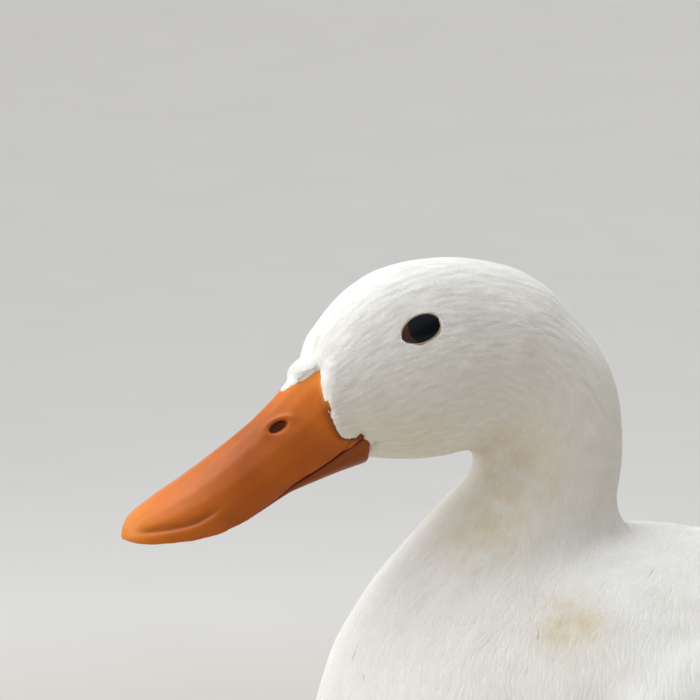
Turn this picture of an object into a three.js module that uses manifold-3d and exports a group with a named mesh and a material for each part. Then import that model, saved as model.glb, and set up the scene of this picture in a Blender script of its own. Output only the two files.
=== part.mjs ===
// A white Pekin duck standing at rest, life size. Millimetres, +Z up, facing -X, its left side towards -Y.
//
// The feathered body is one smooth form: soft eggs and tubes melted into each other, then parted by flat cuts
// into head, neck, trunk and tail. The wings are shells that lie on it. The bill, eyes, legs, toes, webs and
// claws are skinned over rings of points. Everything stands on the flat soles of the two feet.
import * as THREE from "three";
import { mergeVertices } from "three/addons/utils/BufferGeometryUtils.js";
import Module from "manifold-3d";

const wasm = await Module();
wasm.setup();
const { clamp, lerp, smoothstep, degToRad } = THREE.MathUtils;

// ---------------------------------------------------------------- driving dimensions
const EYE_HEIGHT = 323; // floor to the eyes
const EYE_X = -130; // the eyes are this far ahead of the middle of the trunk
const EYE_SIDE = 20.3; // midline to the outside of each eye
const EYE_LENGTH = 13; // of the opening, along the head
const EYE_OPENING = 9.6; // of the opening, from lid to lid
const EYE_DEPTH = 6.5; // half the thickness of the eyeball, from outside to inside
const EYE_TILT = 12; // degrees the front corner is lower than the rear
const BILL_LENGTH = 75.5; // corner of the mouth to the tip
const BILL_PITCH = 22; // degrees the closed bill points below level
const STANCE = 44; // midline to each foot
const FOOT_X = 24; // the ankle, from the middle of the trunk
const HOCK = [44, 66]; // where the bare shank comes out of the feathers: x and height
const GAP = 0.3; // between pieces that touch

const HEAD_CELL = 6.5; // width of the facets on each part of the form
const NECK_CELL = 10;
const TRUNK_CELL = 19;
const TAIL_CELL = 13;
const WING_CELL = 20;
const THIGH_CELL = 13;

// ---------------------------------------------------------------- soft forms as distance fields
// Two forms melt into each other over a fillet of about `soft` millimetres.
function melt(a, b, soft) {
  const overlap = Math.max(soft - Math.abs(a - b), 0) / soft;
  return Math.min(a, b) - (overlap * overlap * soft) / 4;
}

// An egg of three radii, its -X end lowered by `pitch` degrees.
function egg([cx, cy, cz], [rx, ry, rz], pitch = 0) {
  const [c, s] = [Math.cos(degToRad(pitch)), Math.sin(degToRad(pitch))];
  return (x, y, z) => {
    const dx = (x - cx) * c + (z - cz) * s;
    const dy = y - cy;
    const dz = (z - cz) * c - (x - cx) * s;
    const near = Math.hypot(dx / rx, dy / ry, dz / rz);
    const slope = Math.hypot(dx / (rx * rx), dy / (ry * ry), dz / (rz * rz));
    return slope > 1e-9 ? (near * (near - 1)) / slope : -Math.min(rx, ry, rz);
  };
}

// A tube along a smooth line through `stations` of [x, y, z, radius, width ratio].
function tube(stations, steps = 32) {
  const line = new THREE.CatmullRomCurve3(stations.map(([x, y, z]) => new THREE.Vector3(x, y, z)));
  const size = new THREE.CatmullRomCurve3(stations.map(([, , , r, w]) => new THREE.Vector3(r, w ?? 1, 0)));
  const at = Array.from({ length: steps + 1 }, (_, i) => line.getPoint(i / steps));
  const of = Array.from({ length: steps + 1 }, (_, i) => size.getPoint(i / steps));
  return (x, y, z) => {
    let best = Infinity;
    for (let i = 0; i < steps; i++) {
      const [a, b] = [at[i], at[i + 1]];
      const [ex, ey, ez] = [b.x - a.x, b.y - a.y, b.z - a.z];
      const along = ((x - a.x) * ex + (y - a.y) * ey + (z - a.z) * ez) / (ex * ex + ey * ey + ez * ez);
      const t = clamp(along, 0, 1);
      const wide = lerp(of[i].y, of[i + 1].y, t);
      const off = Math.hypot(x - a.x - t * ex, (y - a.y - t * ey) / wide, z - a.z - t * ez);
      best = Math.min(best, (off - lerp(of[i].x, of[i + 1].x, t)) * Math.min(wide, 1));
    }
    return best;
  };
}

// How steeply a field rises at a point, along x, y and z.
function slopeOf(field, [x, y, z], e = 0.05) {
  return [
    (field(x + e, y, z) - field(x - e, y, z)) / (2 * e),
    (field(x, y + e, z) - field(x, y - e, z)) / (2 * e),
    (field(x, y, z + e) - field(x, y, z - e)) / (2 * e),
  ];
}

// One step of a point towards the surface where the field is `level`.
function toSurface(field, p, level = 0) {
  const slope = slopeOf(field, p);
  const steep = Math.max(slope[0] ** 2 + slope[1] ** 2 + slope[2] ** 2, 0.25);
  const d = field(...p) - level;
  return p.map((v, i) => v - (d * slope[i]) / steep);
}

// The surface where a field is zero, as a closed mesh of facets about `cell` wide. Each cell of a grid that the
// surface crosses gets one point for each separate sheet in it, and each grid edge that it crosses gets a quad
// between the points of the four cells round it.
const CORNERS = Array.from({ length: 8 }, (_, c) => [c & 1, (c >> 1) & 1, c >> 2]);
const EDGES = CORNERS.flatMap((_, a) => [1, 2, 4].filter((bit) => !(a & bit)).map((bit) => [a, a | bit]));
const SIDES = [1, 2, 4].flatMap((bit) => [0, bit].map((on) => CORNERS.map((_, c) => c).filter((c) => (c & bit) === on)));

// Sorts the crossed edges of a cell into sheets, given which of its corners are inside.
function sheetsOf(inside) {
  const crossed = EDGES.filter(([a, b]) => inside[a] !== inside[b]);
  let sheets = crossed.map((edge) => [edge]);
  const join = (p, q) => {
    const [one, two] = [p, q].map((edge) => sheets.find((sheet) => sheet.includes(edge)));
    if (one !== two) sheets = [...sheets.filter((sheet) => sheet !== one && sheet !== two), [...one, ...two]];
  };
  for (const side of SIDES) {
    const around = crossed.filter(([a, b]) => side.includes(a) && side.includes(b));
    if (around.length === 2) join(...around);
    if (around.length === 4)
      for (const corner of side.filter((c) => inside[c])) join(...around.filter((edge) => edge.includes(corner)));
  }
  return sheets;
}

function polygonise(field, from, to, cell) {
  const low = from.map((v) => Math.floor(v / cell) * cell); // the grid is the same on both sides of the midline
  const n = low.map((v, i) => Math.ceil((to[i] - v) / cell) + 1);
  const index = (i, j, k) => i + n[0] * (j + n[1] * k);
  const value = new Float32Array(n[0] * n[1] * n[2]);
  const everyCell = (first, spare, visit) => {
    for (let k = first; k < n[2] - spare; k++)
      for (let j = first; j < n[1] - spare; j++) for (let i = first; i < n[0] - spare; i++) visit(i, j, k);
  };
  everyCell(0, 0, (i, j, k) => {
    value[index(i, j, k)] = field(low[0] + i * cell, low[1] + j * cell, low[2] + k * cell);
  });
  const pointOn = new Map(); // "cell:edge" to a point
  const points = [];
  everyCell(0, 1, (i, j, k) => {
    const v = CORNERS.map(([a, b, c]) => value[index(i + a, j + b, k + c)]);
    for (const sheet of sheetsOf(v.map((d) => d < 0))) {
      const crossings = sheet.map(([a, b]) => CORNERS[a].map((g, q) => lerp(g, CORNERS[b][q], v[a] / (v[a] - v[b]))));
      const mean = [0, 1, 2].map((q) => crossings.reduce((sum, c) => sum + c[q], 0) / crossings.length);
      let p = [i, j, k].map((g, q) => low[q] + (g + mean[q]) * cell);
      for (let pull = 0; pull < 3; pull++) p = toSurface(field, p);
      for (const edge of sheet) pointOn.set(`${index(i, j, k)}:${edge}`, points.length / 3);
      points.push(...p);
    }
  });
  const faces = [];
  everyCell(1, 1, (i, j, k) => {
    const inside = value[index(i, j, k)] < 0;
    for (const axis of [0, 1, 2]) {
      const step = [0, 1, 2].map((q) => (q === axis ? 1 : 0));
      if (inside === value[index(i + step[0], j + step[1], k + step[2])] < 0) continue;
      const around = [[1, 1], [0, 1], [0, 0], [1, 0]].map(([p, q]) => {
        const back = axis === 0 ? [0, p, q] : axis === 1 ? [q, 0, p] : [p, q, 0]; // from the edge to the cell's corner
        const corner = back[0] + 2 * back[1] + 4 * back[2];
        return pointOn.get(`${index(i - back[0], j - back[1], k - back[2])}:${[corner, corner | (1 << axis)]}`);
      });
      const [a, b, c, d] = inside ? around : around.toReversed();
      faces.push(a, b, c, a, c, d);
    }
  });
  return geometryOf(points, faces);
}

// ---------------------------------------------------------------- meshes and solids
function geometryOf(points, faces) {
  return new THREE.BufferGeometry()
    .setAttribute("position", new THREE.BufferAttribute(new Float32Array(points), 3))
    .setIndex(faces);
}

// A closed geometry as a solid that can be cut and joined.
function solid(geometry) {
  const bare = geometry.clone();
  bare.deleteAttribute("normal");
  bare.deleteAttribute("uv");
  const merged = mergeVertices(bare, 1e-4);
  const vertProperties = new Float32Array(merged.attributes.position.array);
  const triVerts = new Uint32Array(merged.index.array);
  return new wasm.Manifold(new wasm.Mesh({ numProp: 3, vertProperties, triVerts }));
}

// A solid's surface as a geometry again.
function surface(made) {
  const { numProp, vertProperties, triVerts } = made.getMesh();
  const points = vertProperties.filter((_, i) => i % numProp < 3);
  return geometryOf(points, [...triVerts]);
}

// The mirror image across the midline.
function mirrored(geometry) {
  const flipped = (geometry.index ? geometry.toNonIndexed() : geometry.clone()).scale(1, -1, 1);
  const p = flipped.attributes.position;
  for (let i = 0; i < p.count; i += 3) {
    const [b, c] = [1, 2].map((k) => [p.getX(i + k), p.getY(i + k), p.getZ(i + k)]);
    p.setXYZ(i + 1, ...c);
    p.setXYZ(i + 2, ...b);
  }
  return flipped;
}

// A geometry joined with its mirror image: what a piece that is made once and then mirrored is cut with.
const bothSides = (geometry) => solid(geometry).add(solid(mirrored(geometry)));

// The same facets, pushed out along the field's slope by `by`: what a neighbour is cut with.
function grown(geometry, field, by = GAP) {
  const copy = geometry.clone();
  const position = copy.attributes.position;
  for (let i = 0; i < position.count; i++) {
    const p = [position.getX(i), position.getY(i), position.getZ(i)];
    const slope = new THREE.Vector3(...slopeOf(field, p)).normalize().multiplyScalar(by);
    position.setXYZ(i, p[0] + slope.x, p[1] + slope.y, p[2] + slope.z);
  }
  return copy;
}

// A block that fills everything beyond a plane through `point`, on the side that `normal` points to.
function beyond(point, normal) {
  const size = 1200;
  const turn = new THREE.Quaternion();
  turn.setFromUnitVectors(new THREE.Vector3(0, 0, 1), new THREE.Vector3(...normal).normalize());
  const block = new THREE.BoxGeometry(size, size, size).translate(0, 0, size / 2);
  return solid(block.applyQuaternion(turn).translate(...point));
}

// Rings of points skinned into a closed body, with a fan over each end.
function loft(rings) {
  const count = rings[0].length;
  const points = rings.flat();
  const middle = (ring) => ring.reduce((sum, p) => sum.add(p), new THREE.Vector3()).divideScalar(count);
  const faces = [];
  for (let r = 0; r < rings.length - 1; r++)
    for (let i = 0; i < count; i++) {
      const [a, b] = [r * count + i, r * count + ((i + 1) % count)];
      faces.push(a, b, b + count, a, b + count, a + count);
    }
  const last = (rings.length - 1) * count;
  for (let i = 0; i < count; i++) {
    const j = (i + 1) % count;
    faces.push(points.length, j, i, points.length + 1, last + i, last + j);
  }
  return facingOut(geometryOf([...points, middle(rings[0]), middle(rings.at(-1))].flatMap((p) => p.toArray()), faces));
}

// Turns every face of a closed geometry over if they face in.
function facingOut(geometry) {
  const [position, faces] = [geometry.attributes.position, geometry.index.array];
  const corner = (i) => new THREE.Vector3().fromBufferAttribute(position, faces[i]);
  let volume = 0;
  for (let i = 0; i < faces.length; i += 3) volume += corner(i).dot(corner(i + 1).cross(corner(i + 2)));
  if (volume < 0) faces.reverse();
  return geometry;
}

// A bar skinned along stations of [x, y, z, radius], its section `wide` times as wide as it is deep and turned by
// `roll` degrees about its own line.
function bar(stations, { sides = 8, steps = 8, wide = 1, roll = 0 } = {}) {
  const line = new THREE.CatmullRomCurve3(stations.map(([x, y, z]) => new THREE.Vector3(x, y, z)));
  const size = new THREE.CatmullRomCurve3(stations.map(([, , , r]) => new THREE.Vector3(r, 0, 0)));
  const rings = Array.from({ length: steps + 1 }, (_, s) => {
    const t = s / steps;
    const ahead = line.getTangent(t);
    const across = new THREE.Vector3(0, 1, 0).projectOnPlane(ahead);
    across.normalize().applyAxisAngle(ahead, degToRad(roll));
    const up = ahead.clone().cross(across).normalize();
    const radius = size.getPoint(t).x;
    return Array.from({ length: sides }, (_, i) => {
      const angle = (2 * Math.PI * i) / sides;
      return line
        .getPoint(t)
        .addScaledVector(across, radius * wide * Math.cos(angle))
        .addScaledVector(up, radius * Math.sin(angle));
    });
  });
  return loft(rings);
}

// A closed outline of [u, v] pairs as a slab. `lay` turns (u, v, depth) into the duck's frame.
function slab(outline, depth, lay) {
  const shape = new THREE.Shape(outline.map(([u, v]) => new THREE.Vector2(u, v)));
  const slabbed = new THREE.ExtrudeGeometry(shape, { depth: 2 * depth, bevelEnabled: false });
  return slabbed.translate(0, 0, -depth).applyMatrix4(lay);
}
const AXIS = { x: new THREE.Vector3(1, 0, 0), y: new THREE.Vector3(0, 1, 0), z: new THREE.Vector3(0, 0, 1) };
const sideOn = new THREE.Matrix4().makeBasis(AXIS.x, AXIS.z, AXIS.y.clone().negate()); // (x, z) through y

// ---------------------------------------------------------------- assembly
const duck = new THREE.Group();
function add(name, geometry, material) {
  const mesh = new THREE.Mesh(geometry, material);
  mesh.name = name;
  duck.add(mesh);
}
const matte = (color, roughness) => new THREE.MeshStandardMaterial({ color, roughness, metalness: 0 });
const plumage = matte(0xf2efe6, 0.9);
const billSkin = matte(0xe07a1e, 0.45);
const legSkin = matte(0xdd7722, 0.6);
const clawHorn = matte(0x9a7350, 0.5);
const eyeball = matte(0x10151c, 0.1);

// ---------------------------------------------------------------- the feathered form
const fromEye = (dx, dz) => [EYE_X + dx, 0, EYE_HEIGHT + dz];

const cranium = egg(fromEye(17.5, -4.5), [38.5, 20.5, 24.5], 0);
const forehead = egg(fromEye(-8, -8.5), [28, 15.5, 17.5], 40);
const cheeks = egg(fromEye(11, -22.4), [35, 21.5, 19.5], 5);
const billRoot = tube([
  [...fromEye(8, -13), 19, 0.98],
  [...fromEye(-12, -20), 16, 0.88],
  [...fromEye(-29, -26.2), 14.4, 0.86],
]);
const neckLine = tube([
  [...fromEye(37, -10), 22, 0.95],
  [...fromEye(50, -22), 23, 0.95],
  [...fromEye(54, -36), 23, 0.94],
  [...fromEye(53, -49), 23, 0.94],
  [...fromEye(47.5, -61), 24, 0.95],
  [...fromEye(36.5, -76), 27, 0.97],
  [...fromEye(29, -90), 30.5, 1],
  [...fromEye(25, -106), 35.5, 1.04],
  [...fromEye(27, -128), 45, 1.1],
]);
const trunkEgg = egg([16, 0, 165], [156, 74, 82], -9);
const breastEgg = egg([-77, 0, 177], [65, 69, 73], 0);
const shoulders = egg([-30, 0, 196], [54, 62, 41], -5);
const rumpEgg = egg([118, 0, 177], [72, 48, 40], 8);
const tailRoot = tube([
  [120, 0, 180, 38, 1.2],
  [160, 0, 194, 22, 1.6],
  [190, 0, 205, 10, 2.8],
]);

// The neck rises free of the shoulders behind, and runs into the breast in front without a crease.
function form(x, y, z) {
  let d = melt(cranium(x, y, z), forehead(x, y, z), 8);
  d = melt(d, cheeks(x, y, z), 12);
  d = melt(d, billRoot(x, y, z), 10);
  d = melt(d, neckLine(x, y, z), 9);
  let low = melt(trunkEgg(x, y, z), breastEgg(x, y, z), 40);
  low = melt(low, shoulders(x, y, z), 34);
  low = melt(low, rumpEgg(x, y, z), 36);
  low = melt(low, tailRoot(x, y, z), 18);
  return melt(d, low, lerp(20, 7, smoothstep(x, EYE_X - 5, EYE_X + 55)));
}

// Where thin cuts part it: a point on each cut, and the way towards the front or the head.
const HEAD_CUT = { point: fromEye(50, -34), normal: [-0.45, 0, 0.89] };
const NECK_CUT = { point: fromEye(24, -92), normal: [-0.3, 0, 0.95] };
const TAIL_CUT = { point: [150, 0, 193], normal: [-1, 0, -0.12] };

// A form from `ahead` back to `behind`, meshed on past each cut to a round end.
function lump(field, ahead, behind, low, high, cell) {
  const spare = 3 * cell;
  return polygonise(
    (x, y, z) => {
      let d = field(x, y, z);
      if (ahead) d = -melt(-d, spare - past(ahead, [x, y, z]), 2 * cell);
      if (behind) d = -melt(-d, spare + past(behind, [x, y, z]), 2 * cell);
      return d;
    },
    low,
    high,
    cell,
  );
}
const wayOf = ({ normal }) => new THREE.Vector3(...normal).normalize();
const past = (cut, p) => wayOf(cut).dot(new THREE.Vector3(...p).sub(new THREE.Vector3(...cut.point)));
const shifted = (cut, by) => new THREE.Vector3(...cut.point).addScaledVector(wayOf(cut), by).toArray();

// Trims a lump flat, half a gap short of each cut.
function trimmed(geometry, ahead, behind) {
  let made = solid(geometry);
  if (ahead) made = made.subtract(beyond(shifted(ahead, -GAP / 2), ahead.normal));
  if (behind) made = made.subtract(beyond(shifted(behind, GAP / 2), behind.normal.map((v) => -v)));
  return made;
}
const headLump = lump(form, null, HEAD_CUT, [-204, -42, 228], [-30, 42, 364], HEAD_CELL);
const neckLump = lump(form, HEAD_CUT, NECK_CUT, [-207, -99, 150], [27, 99, 348], NECK_CELL);
const trunkLump = lump(form, NECK_CUT, TAIL_CUT, [-208, -112, 32], [224, 112, 304], TRUNK_CELL);
const tailLump = lump(form, TAIL_CUT, null, [74, -104, 40], [256, 104, 270], TAIL_CELL);
let head = trimmed(headLump, null, HEAD_CUT);
const neck = trimmed(neckLump, HEAD_CUT, NECK_CUT);
const trunk = trimmed(trunkLump, NECK_CUT, TAIL_CUT);
let tail = trimmed(tailLump, TAIL_CUT, null);

// ---------------------------------------------------------------- the bill
// Its own frame: s runs from the corner of the mouth to the tip, y across, h up from the line between those two.
const billPitch = degToRad(BILL_PITCH);
const billAhead = new THREE.Vector3(-Math.cos(billPitch), 0, -Math.sin(billPitch));
const billUp = new THREE.Vector3(-Math.sin(billPitch), 0, Math.cos(billPitch));
const mouthCorner = new THREE.Vector3(...fromEye(-18, -32.2));
const inBill = (s, y, h) => mouthCorner.clone().addScaledVector(billAhead, s).addScaledVector(billUp, h).setY(y);
const billBasis = (across, up) => new THREE.Matrix4().makeBasis(across, up, across.clone().cross(up));
const billSideOn = billBasis(billAhead, billUp).setPosition(mouthCorner); // (s, h) through y
const billFromAbove = billBasis(billAhead, new THREE.Vector3(0, 1, 0)).setPosition(mouthCorner); // (s, y) through h

// Stations: distance, half width, ridge, edge of the upper bill, underside, and how square the section is.
const billStations = [
  { s: -8, half: 13.2, ridge: 29, edge: -2.6, under: -11.2, square: 1.9 },
  { s: 0, half: 13.4, ridge: 25.4, edge: -2.3, under: -10.7, square: 1.85 },
  { s: 8, half: 13.2, ridge: 21.8, edge: -3.6, under: -9.6, square: 1.8 },
  { s: 16, half: 12.8, ridge: 18.1, edge: -5, under: -9, square: 1.8 },
  { s: 25, half: 12.6, ridge: 14.7, edge: -5.9, under: -8.7, square: 1.85 },
  { s: 34, half: 13.1, ridge: 12.3, edge: -7.8, under: -9.5, square: 1.95 },
  { s: 43, half: 14, ridge: 10.1, edge: -9.1, under: -10.2, square: 2.1 },
  { s: 52, half: 14.7, ridge: 8.1, edge: -8.9, under: -9.9, square: 2.2 },
  { s: 60, half: 14.4, ridge: 6.8, edge: -7.4, under: -8.3, square: 2.25 },
  { s: 67, half: 12.4, ridge: 5.4, edge: -5.3, under: -6.1, square: 2.25 },
  { s: 71.5, half: 9.4, ridge: 4, edge: -4, under: -4.7, square: 2.2 },
  { s: 74.3, half: 5.6, ridge: 2, edge: -2.8, under: -3.5, square: 2.1 },
  { s: BILL_LENGTH, half: 2.4, ridge: 0.4, edge: -1.6, under: -2.4, square: 2 },
];
const arch = (angle, power) => Math.sign(Math.cos(angle)) * Math.abs(Math.cos(angle)) ** power;
const lasting = (count, make) => Array.from({ length: count }, (_, i) => make(i));

function upperRing({ s, half, ridge, edge, square }) {
  const over = lasting(11, (i) => {
    const angle = (Math.PI * i) / 10;
    return inBill(s, half * arch(angle, 2 / square), edge + (ridge - edge) * Math.sin(angle) ** (2 / square));
  });
  const inside = lasting(3, (i) => inBill(s, lerp(-half, half, (i + 1) / 4), edge));
  return [...over, ...inside];
}

// The lower bill is deep and flat-sided at the corner of the mouth, and a thin tray inside the rim farther out.
function lowerRing({ s, half, edge, under }) {
  const inset = half * lerp(0.97, 0.86, smoothstep(s, 0, 30));
  const round = lerp(0.6, 1, smoothstep(s, 15, 40));
  const top = edge - GAP;
  const below = lasting(11, (i) => {
    const angle = (Math.PI * i) / 10;
    return inBill(s, -inset * arch(angle, round), top - (top - under) * Math.sin(angle) ** round);
  });
  const inside = lasting(3, (i) => inBill(s, lerp(inset, -inset, (i + 1) / 4), top));
  return [...below, ...inside];
}

// The line where feathers meet the bill, seen from the side, and the tongue of feathers on the forehead.
const featherLine = [[-1, -20], [-1.4, -8], [-3, -4.6], [-2.4, -2.6], [1, -1], [4.3, 1], [5.9, 6], [6.2, 11.2],
  [4, 17.5], [1.4, 21.5], [-3, 33]];
const billRegion = (gap) => {
  const bare = [...featherLine.map(([s, h]) => [s + gap, h]), [110, 33], [110, -20]];
  const tongue = [[-20, -6.5 - gap], [6, -6 - gap], [10 + gap, -2.5], [10 + gap, 2.5], [6, 6 + gap], [-20, 6.5 + gap]];
  const aboveBrow = slab(tongue, 12, billFromAbove.clone().multiply(new THREE.Matrix4().makeTranslation(0, 0, 26)));
  return solid(slab(bare, 40, billSideOn)).subtract(solid(aboveBrow));
};
head = head.subtract(billRegion(-GAP));
const nostril = (side) =>
  new THREE.SphereGeometry(1, 10, 6)
    .scale(3.3, 1.7, 1.5)
    .rotateX(side * degToRad(-35))
    .applyMatrix4(billSideOn.clone().setPosition(inBill(20.7, side * 7.4, 11.2)));
let upperBill = solid(loft(billStations.map(upperRing))).intersect(billRegion(0));
for (const side of [-1, 1]) upperBill = upperBill.subtract(solid(nostril(side)));
const lowerBill = solid(loft(billStations.slice(0, -1).map(lowerRing))).intersect(billRegion(0));

// ---------------------------------------------------------------- the eyes
const eyeAt = (side) => [EYE_X + 0.6, side * (EYE_SIDE - EYE_DEPTH), EYE_HEIGHT];
const eyeBall = (side, more = 0) =>
  new THREE.SphereGeometry(1, 14, 8)
    .scale(EYE_LENGTH / 2 + more, EYE_DEPTH + more, EYE_OPENING / 2 + more)
    .rotateY(degToRad(-EYE_TILT))
    .translate(...eyeAt(side));
for (const side of [-1, 1]) head = head.subtract(solid(eyeBall(side, GAP)));

// ---------------------------------------------------------------- the tail fan
const fanStations = [
  { x: 128, z: 194, half: 20, thick: 9 },
  { x: 152, z: 198, half: 29, thick: 8 },
  { x: 174, z: 202, half: 34.5, thick: 7 },
  { x: 194, z: 205.5, half: 37, thick: 5.6 },
  { x: 210, z: 208, half: 36, thick: 4 },
  { x: 221, z: 210, half: 31.5, thick: 2.8 },
  { x: 229, z: 211, half: 23, thick: 1.9 },
  { x: 234, z: 212, half: 11, thick: 1.3 },
];
const fanRing = ({ x, z, half, thick }) =>
  lasting(16, (i) => {
    const angle = (-2 * Math.PI * i) / 16;
    const y = half * arch(angle, 0.9);
    const crown = (1 - (y / half) ** 2) * half * 0.12; // the fan is arched across
    return new THREE.Vector3(x, y, z + crown + thick * Math.sin(angle));
  });
const fanGeometry = loft(fanStations.map(fanRing));
const fanUp = (x, y, z) => z;
const fan = solid(fanGeometry);
tail = tail.add(fan.subtract(beyond(shifted(TAIL_CUT, -GAP / 2), TAIL_CUT.normal)));

// ---------------------------------------------------------------- the folded wings
// A wing is the form puffed out by the depth of its feathers, inside the outline of the folded wing, less the
// body under it. The feathers stand deepest along the lower edge, and run out over the back and the breast.
const WING_EDGE = 2.5;
const WING_DEPTH = 7;
const wingOutline = [[-93, 200], [-84, 218], [-60, 230], [-20, 236], [30, 235], [80, 228], [118, 221], [146, 214],
  [160, 209], [150, 198], [122, 182], [78, 165], [28, 154], [-20, 151], [-58, 159], [-82, 178]];
const wingDepth = (x, z) =>
  WING_EDGE + WING_DEPTH * smoothstep(x, -98, -45) * (1 - 0.5 * smoothstep(x, 70, 150)) * (1 - smoothstep(z, 192, 238));
const puffedForm = (x, y, z) => form(x, y, z) - wingDepth(x, z);
const puffed = solid(lump(puffedForm, NECK_CUT, TAIL_CUT, [-210, -120, 30], [225, 120, 315], WING_CELL));
const bodyUnderneath = bothSides(grown(trunkLump, form));
const wingBlock = solid(slab(wingOutline, 50, sideOn)).translate([0, -60, 0]);
const rumpUnderneath = bothSides(grown(tailLump, form));
const wing = puffed.intersect(wingBlock).subtract(bodyUnderneath).subtract(rumpUnderneath);

// The long flight feathers run on behind it, one flat bundle on each side of the rump.
const tailUnderneath = rumpUnderneath.add(bothSides(grown(fanGeometry, fanUp)));
const primaries = solid(
  bar(
    [
      [110, -50, 205, 4.6],
      [140, -42, 208, 4.6],
      [166, -32, 212, 4],
      [188, -22, 216, 3],
      [203, -15, 219, 1.5],
    ],
    { sides: 10, steps: 7, wide: 2.8, roll: 40 },
  ),
)
  .subtract(wingBlock.translate([GAP, 0, 0]))
  .subtract(bodyUnderneath)
  .subtract(tailUnderneath);

// ---------------------------------------------------------------- legs and feet (left side; the right is its mirror)
const legY = -STANCE;
const [hockX, hockZ] = HOCK;
const thighLine = tube([[hockX - 34, legY + 6, 120, 38], [hockX - 17, legY + 2, 96, 28], [hockX - 4, legY, 76, 16],
  [hockX + 3, legY, 56, 11]], 12);
const thigh = solid(polygonise(thighLine, [-48, -96, 24], [84, 12, 180], THIGH_CELL))
  .subtract(bodyUnderneath)
  .subtract(beyond([0, 0, hockZ], [0, 0, -1]));

const ANKLE_TOP = 15; // the foot ends here and the shank begins
const shank = solid(
  bar([[hockX + 4, legY, hockZ + 12, 7], [hockX, legY, hockZ, 7], [hockX - 5, legY, hockZ - 14, 5.8],
    [FOOT_X + 7, legY, 34, 5], [FOOT_X + 2, legY, 20, 5.6], [FOOT_X, legY, 6, 6.4]], { sides: 10, steps: 9, wide: 0.85 }),
)
  .subtract(beyond([0, 0, hockZ - GAP], [0, 0, 1]))
  .subtract(beyond([0, 0, ANKLE_TOP + GAP], [0, 0, -1]));

// Toes: name, how far each turns out from straight ahead, its length, and its half width and height at the root.
const toes = [
  { name: "inner", turn: -24, length: 47, half: 4.2, tall: 7.4 },
  { name: "middle", turn: 1, length: 62, half: 4.5, tall: 8 },
  { name: "outer", turn: 25, length: 59, half: 4.2, tall: 7.4 },
];
const TOE_TIP_HALF = 2.5;
const TOE_TIP_TALL = 4;
const toeWay = (turn) => new THREE.Vector3(-Math.cos(degToRad(turn)), -Math.sin(degToRad(turn)), 0);
const ankle = new THREE.Vector3(FOOT_X, legY, 0);
const alongToe = (turn, distance) => ankle.clone().addScaledVector(toeWay(turn), distance);

// A toe is flat underneath and domed on top, a little thicker at each of its joints.
function toeBody({ turn, length, half, tall }) {
  const across = new THREE.Vector3(0, 0, 1).cross(toeWay(turn));
  const steps = 6;
  return loft(
    lasting(steps + 1, (step) => {
      const t = step / steps;
      const joint = 1 + 0.1 * Math.cos(t * 6 * Math.PI);
      const end = step === steps ? 0.7 : 1;
      const wide = lerp(half, TOE_TIP_HALF, t) * joint * end;
      const high = lerp(tall, TOE_TIP_TALL, t) * joint * end;
      return lasting(6, (i) => {
        const angle = Math.PI - (Math.PI * i) / 5;
        const at = alongToe(turn, length * t).addScaledVector(across, -wide * Math.cos(angle));
        return at.setZ(high * Math.sin(angle) ** 0.8);
      });
    }),
  );
}

// The web: straight along each toe, and hollow between the tips of two toes.
const WEB_THICK = 2.4;
function webOutline() {
  const tip = ({ turn, length }) => alongToe(turn, length * 0.93);
  const shape = new THREE.Shape();
  shape.moveTo(FOOT_X + 2, legY);
  shape.lineTo(tip(toes[0]).x, tip(toes[0]).y);
  for (const [from, to] of [[toes[0], toes[1]], [toes[1], toes[2]]]) {
    const hollow = alongToe((from.turn + to.turn) / 2, Math.min(from.length, to.length) * 0.78);
    shape.quadraticCurveTo(hollow.x, hollow.y, tip(to).x, tip(to).y);
  }
  return shape;
}
const web = new THREE.ExtrudeGeometry(webOutline(), { depth: WEB_THICK, bevelEnabled: false, curveSegments: 4 });
const HIND_TOE = [[FOOT_X + 3, legY + 2, 13, 4.5], [FOOT_X + 13, legY + 4, 11, 3.2], [FOOT_X + 22, legY + 6, 7.5, 2.3]];
let foot = solid(web);
for (const toe of toes) foot = foot.add(solid(toeBody(toe)));
foot = foot
  .add(solid(bar(HIND_TOE, { sides: 8, steps: 5 })))
  .add(solid(loft(lasting(4, (step) => lasting(10, (i) => {
    const r = [7.5, 7.6, 6.8, 6.2][step];
    const angle = (2 * Math.PI * i) / 10;
    return new THREE.Vector3(FOOT_X + r * Math.cos(angle), legY + 0.9 * r * Math.sin(angle), [0, 4, 10, 18][step]);
  })))))
  .subtract(beyond([0, 0, ANKLE_TOP], [0, 0, 1]));

const claw = (root, way, length) => {
  const at = (distance, z) => [...root.clone().addScaledVector(way, distance).setZ(z).toArray()];
  return bar([[...at(GAP, 2.4), 1.8], [...at(0.5 * length, 2.6), 1.5], [...at(length, 1), 0.5]], { sides: 6, steps: 3 });
};

// ---------------------------------------------------------------- the scene graph
function addPair(name, geometry, material) {
  add(`${name}_left`, geometry, material);
  add(`${name}_right`, mirrored(geometry), material);
}

add("head", surface(head), plumage);
add("neck", surface(neck), plumage);
add("trunk", surface(trunk), plumage);
add("tail", surface(tail), plumage);
add("upper_bill", surface(upperBill), billSkin);
add("lower_bill", surface(lowerBill), billSkin);
addPair("eye", eyeBall(-1), eyeball);
addPair("wing", surface(wing), plumage);
addPair("wing_tip", surface(primaries), plumage);
addPair("thigh", surface(thigh), plumage);
addPair("shank", surface(shank), legSkin);
addPair("foot", surface(foot), legSkin);
for (const { name, turn, length } of toes)
  addPair(`${name}_claw`, claw(alongToe(turn, length), toeWay(turn), name === "middle" ? 9 : 8), clawHorn);
duck.updateMatrixWorld(true);

const box = new THREE.Box3().setFromObject(duck);
duck.position.set(-(box.min.x + box.max.x) / 2, 0, -box.min.z);

export default duck;
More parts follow.
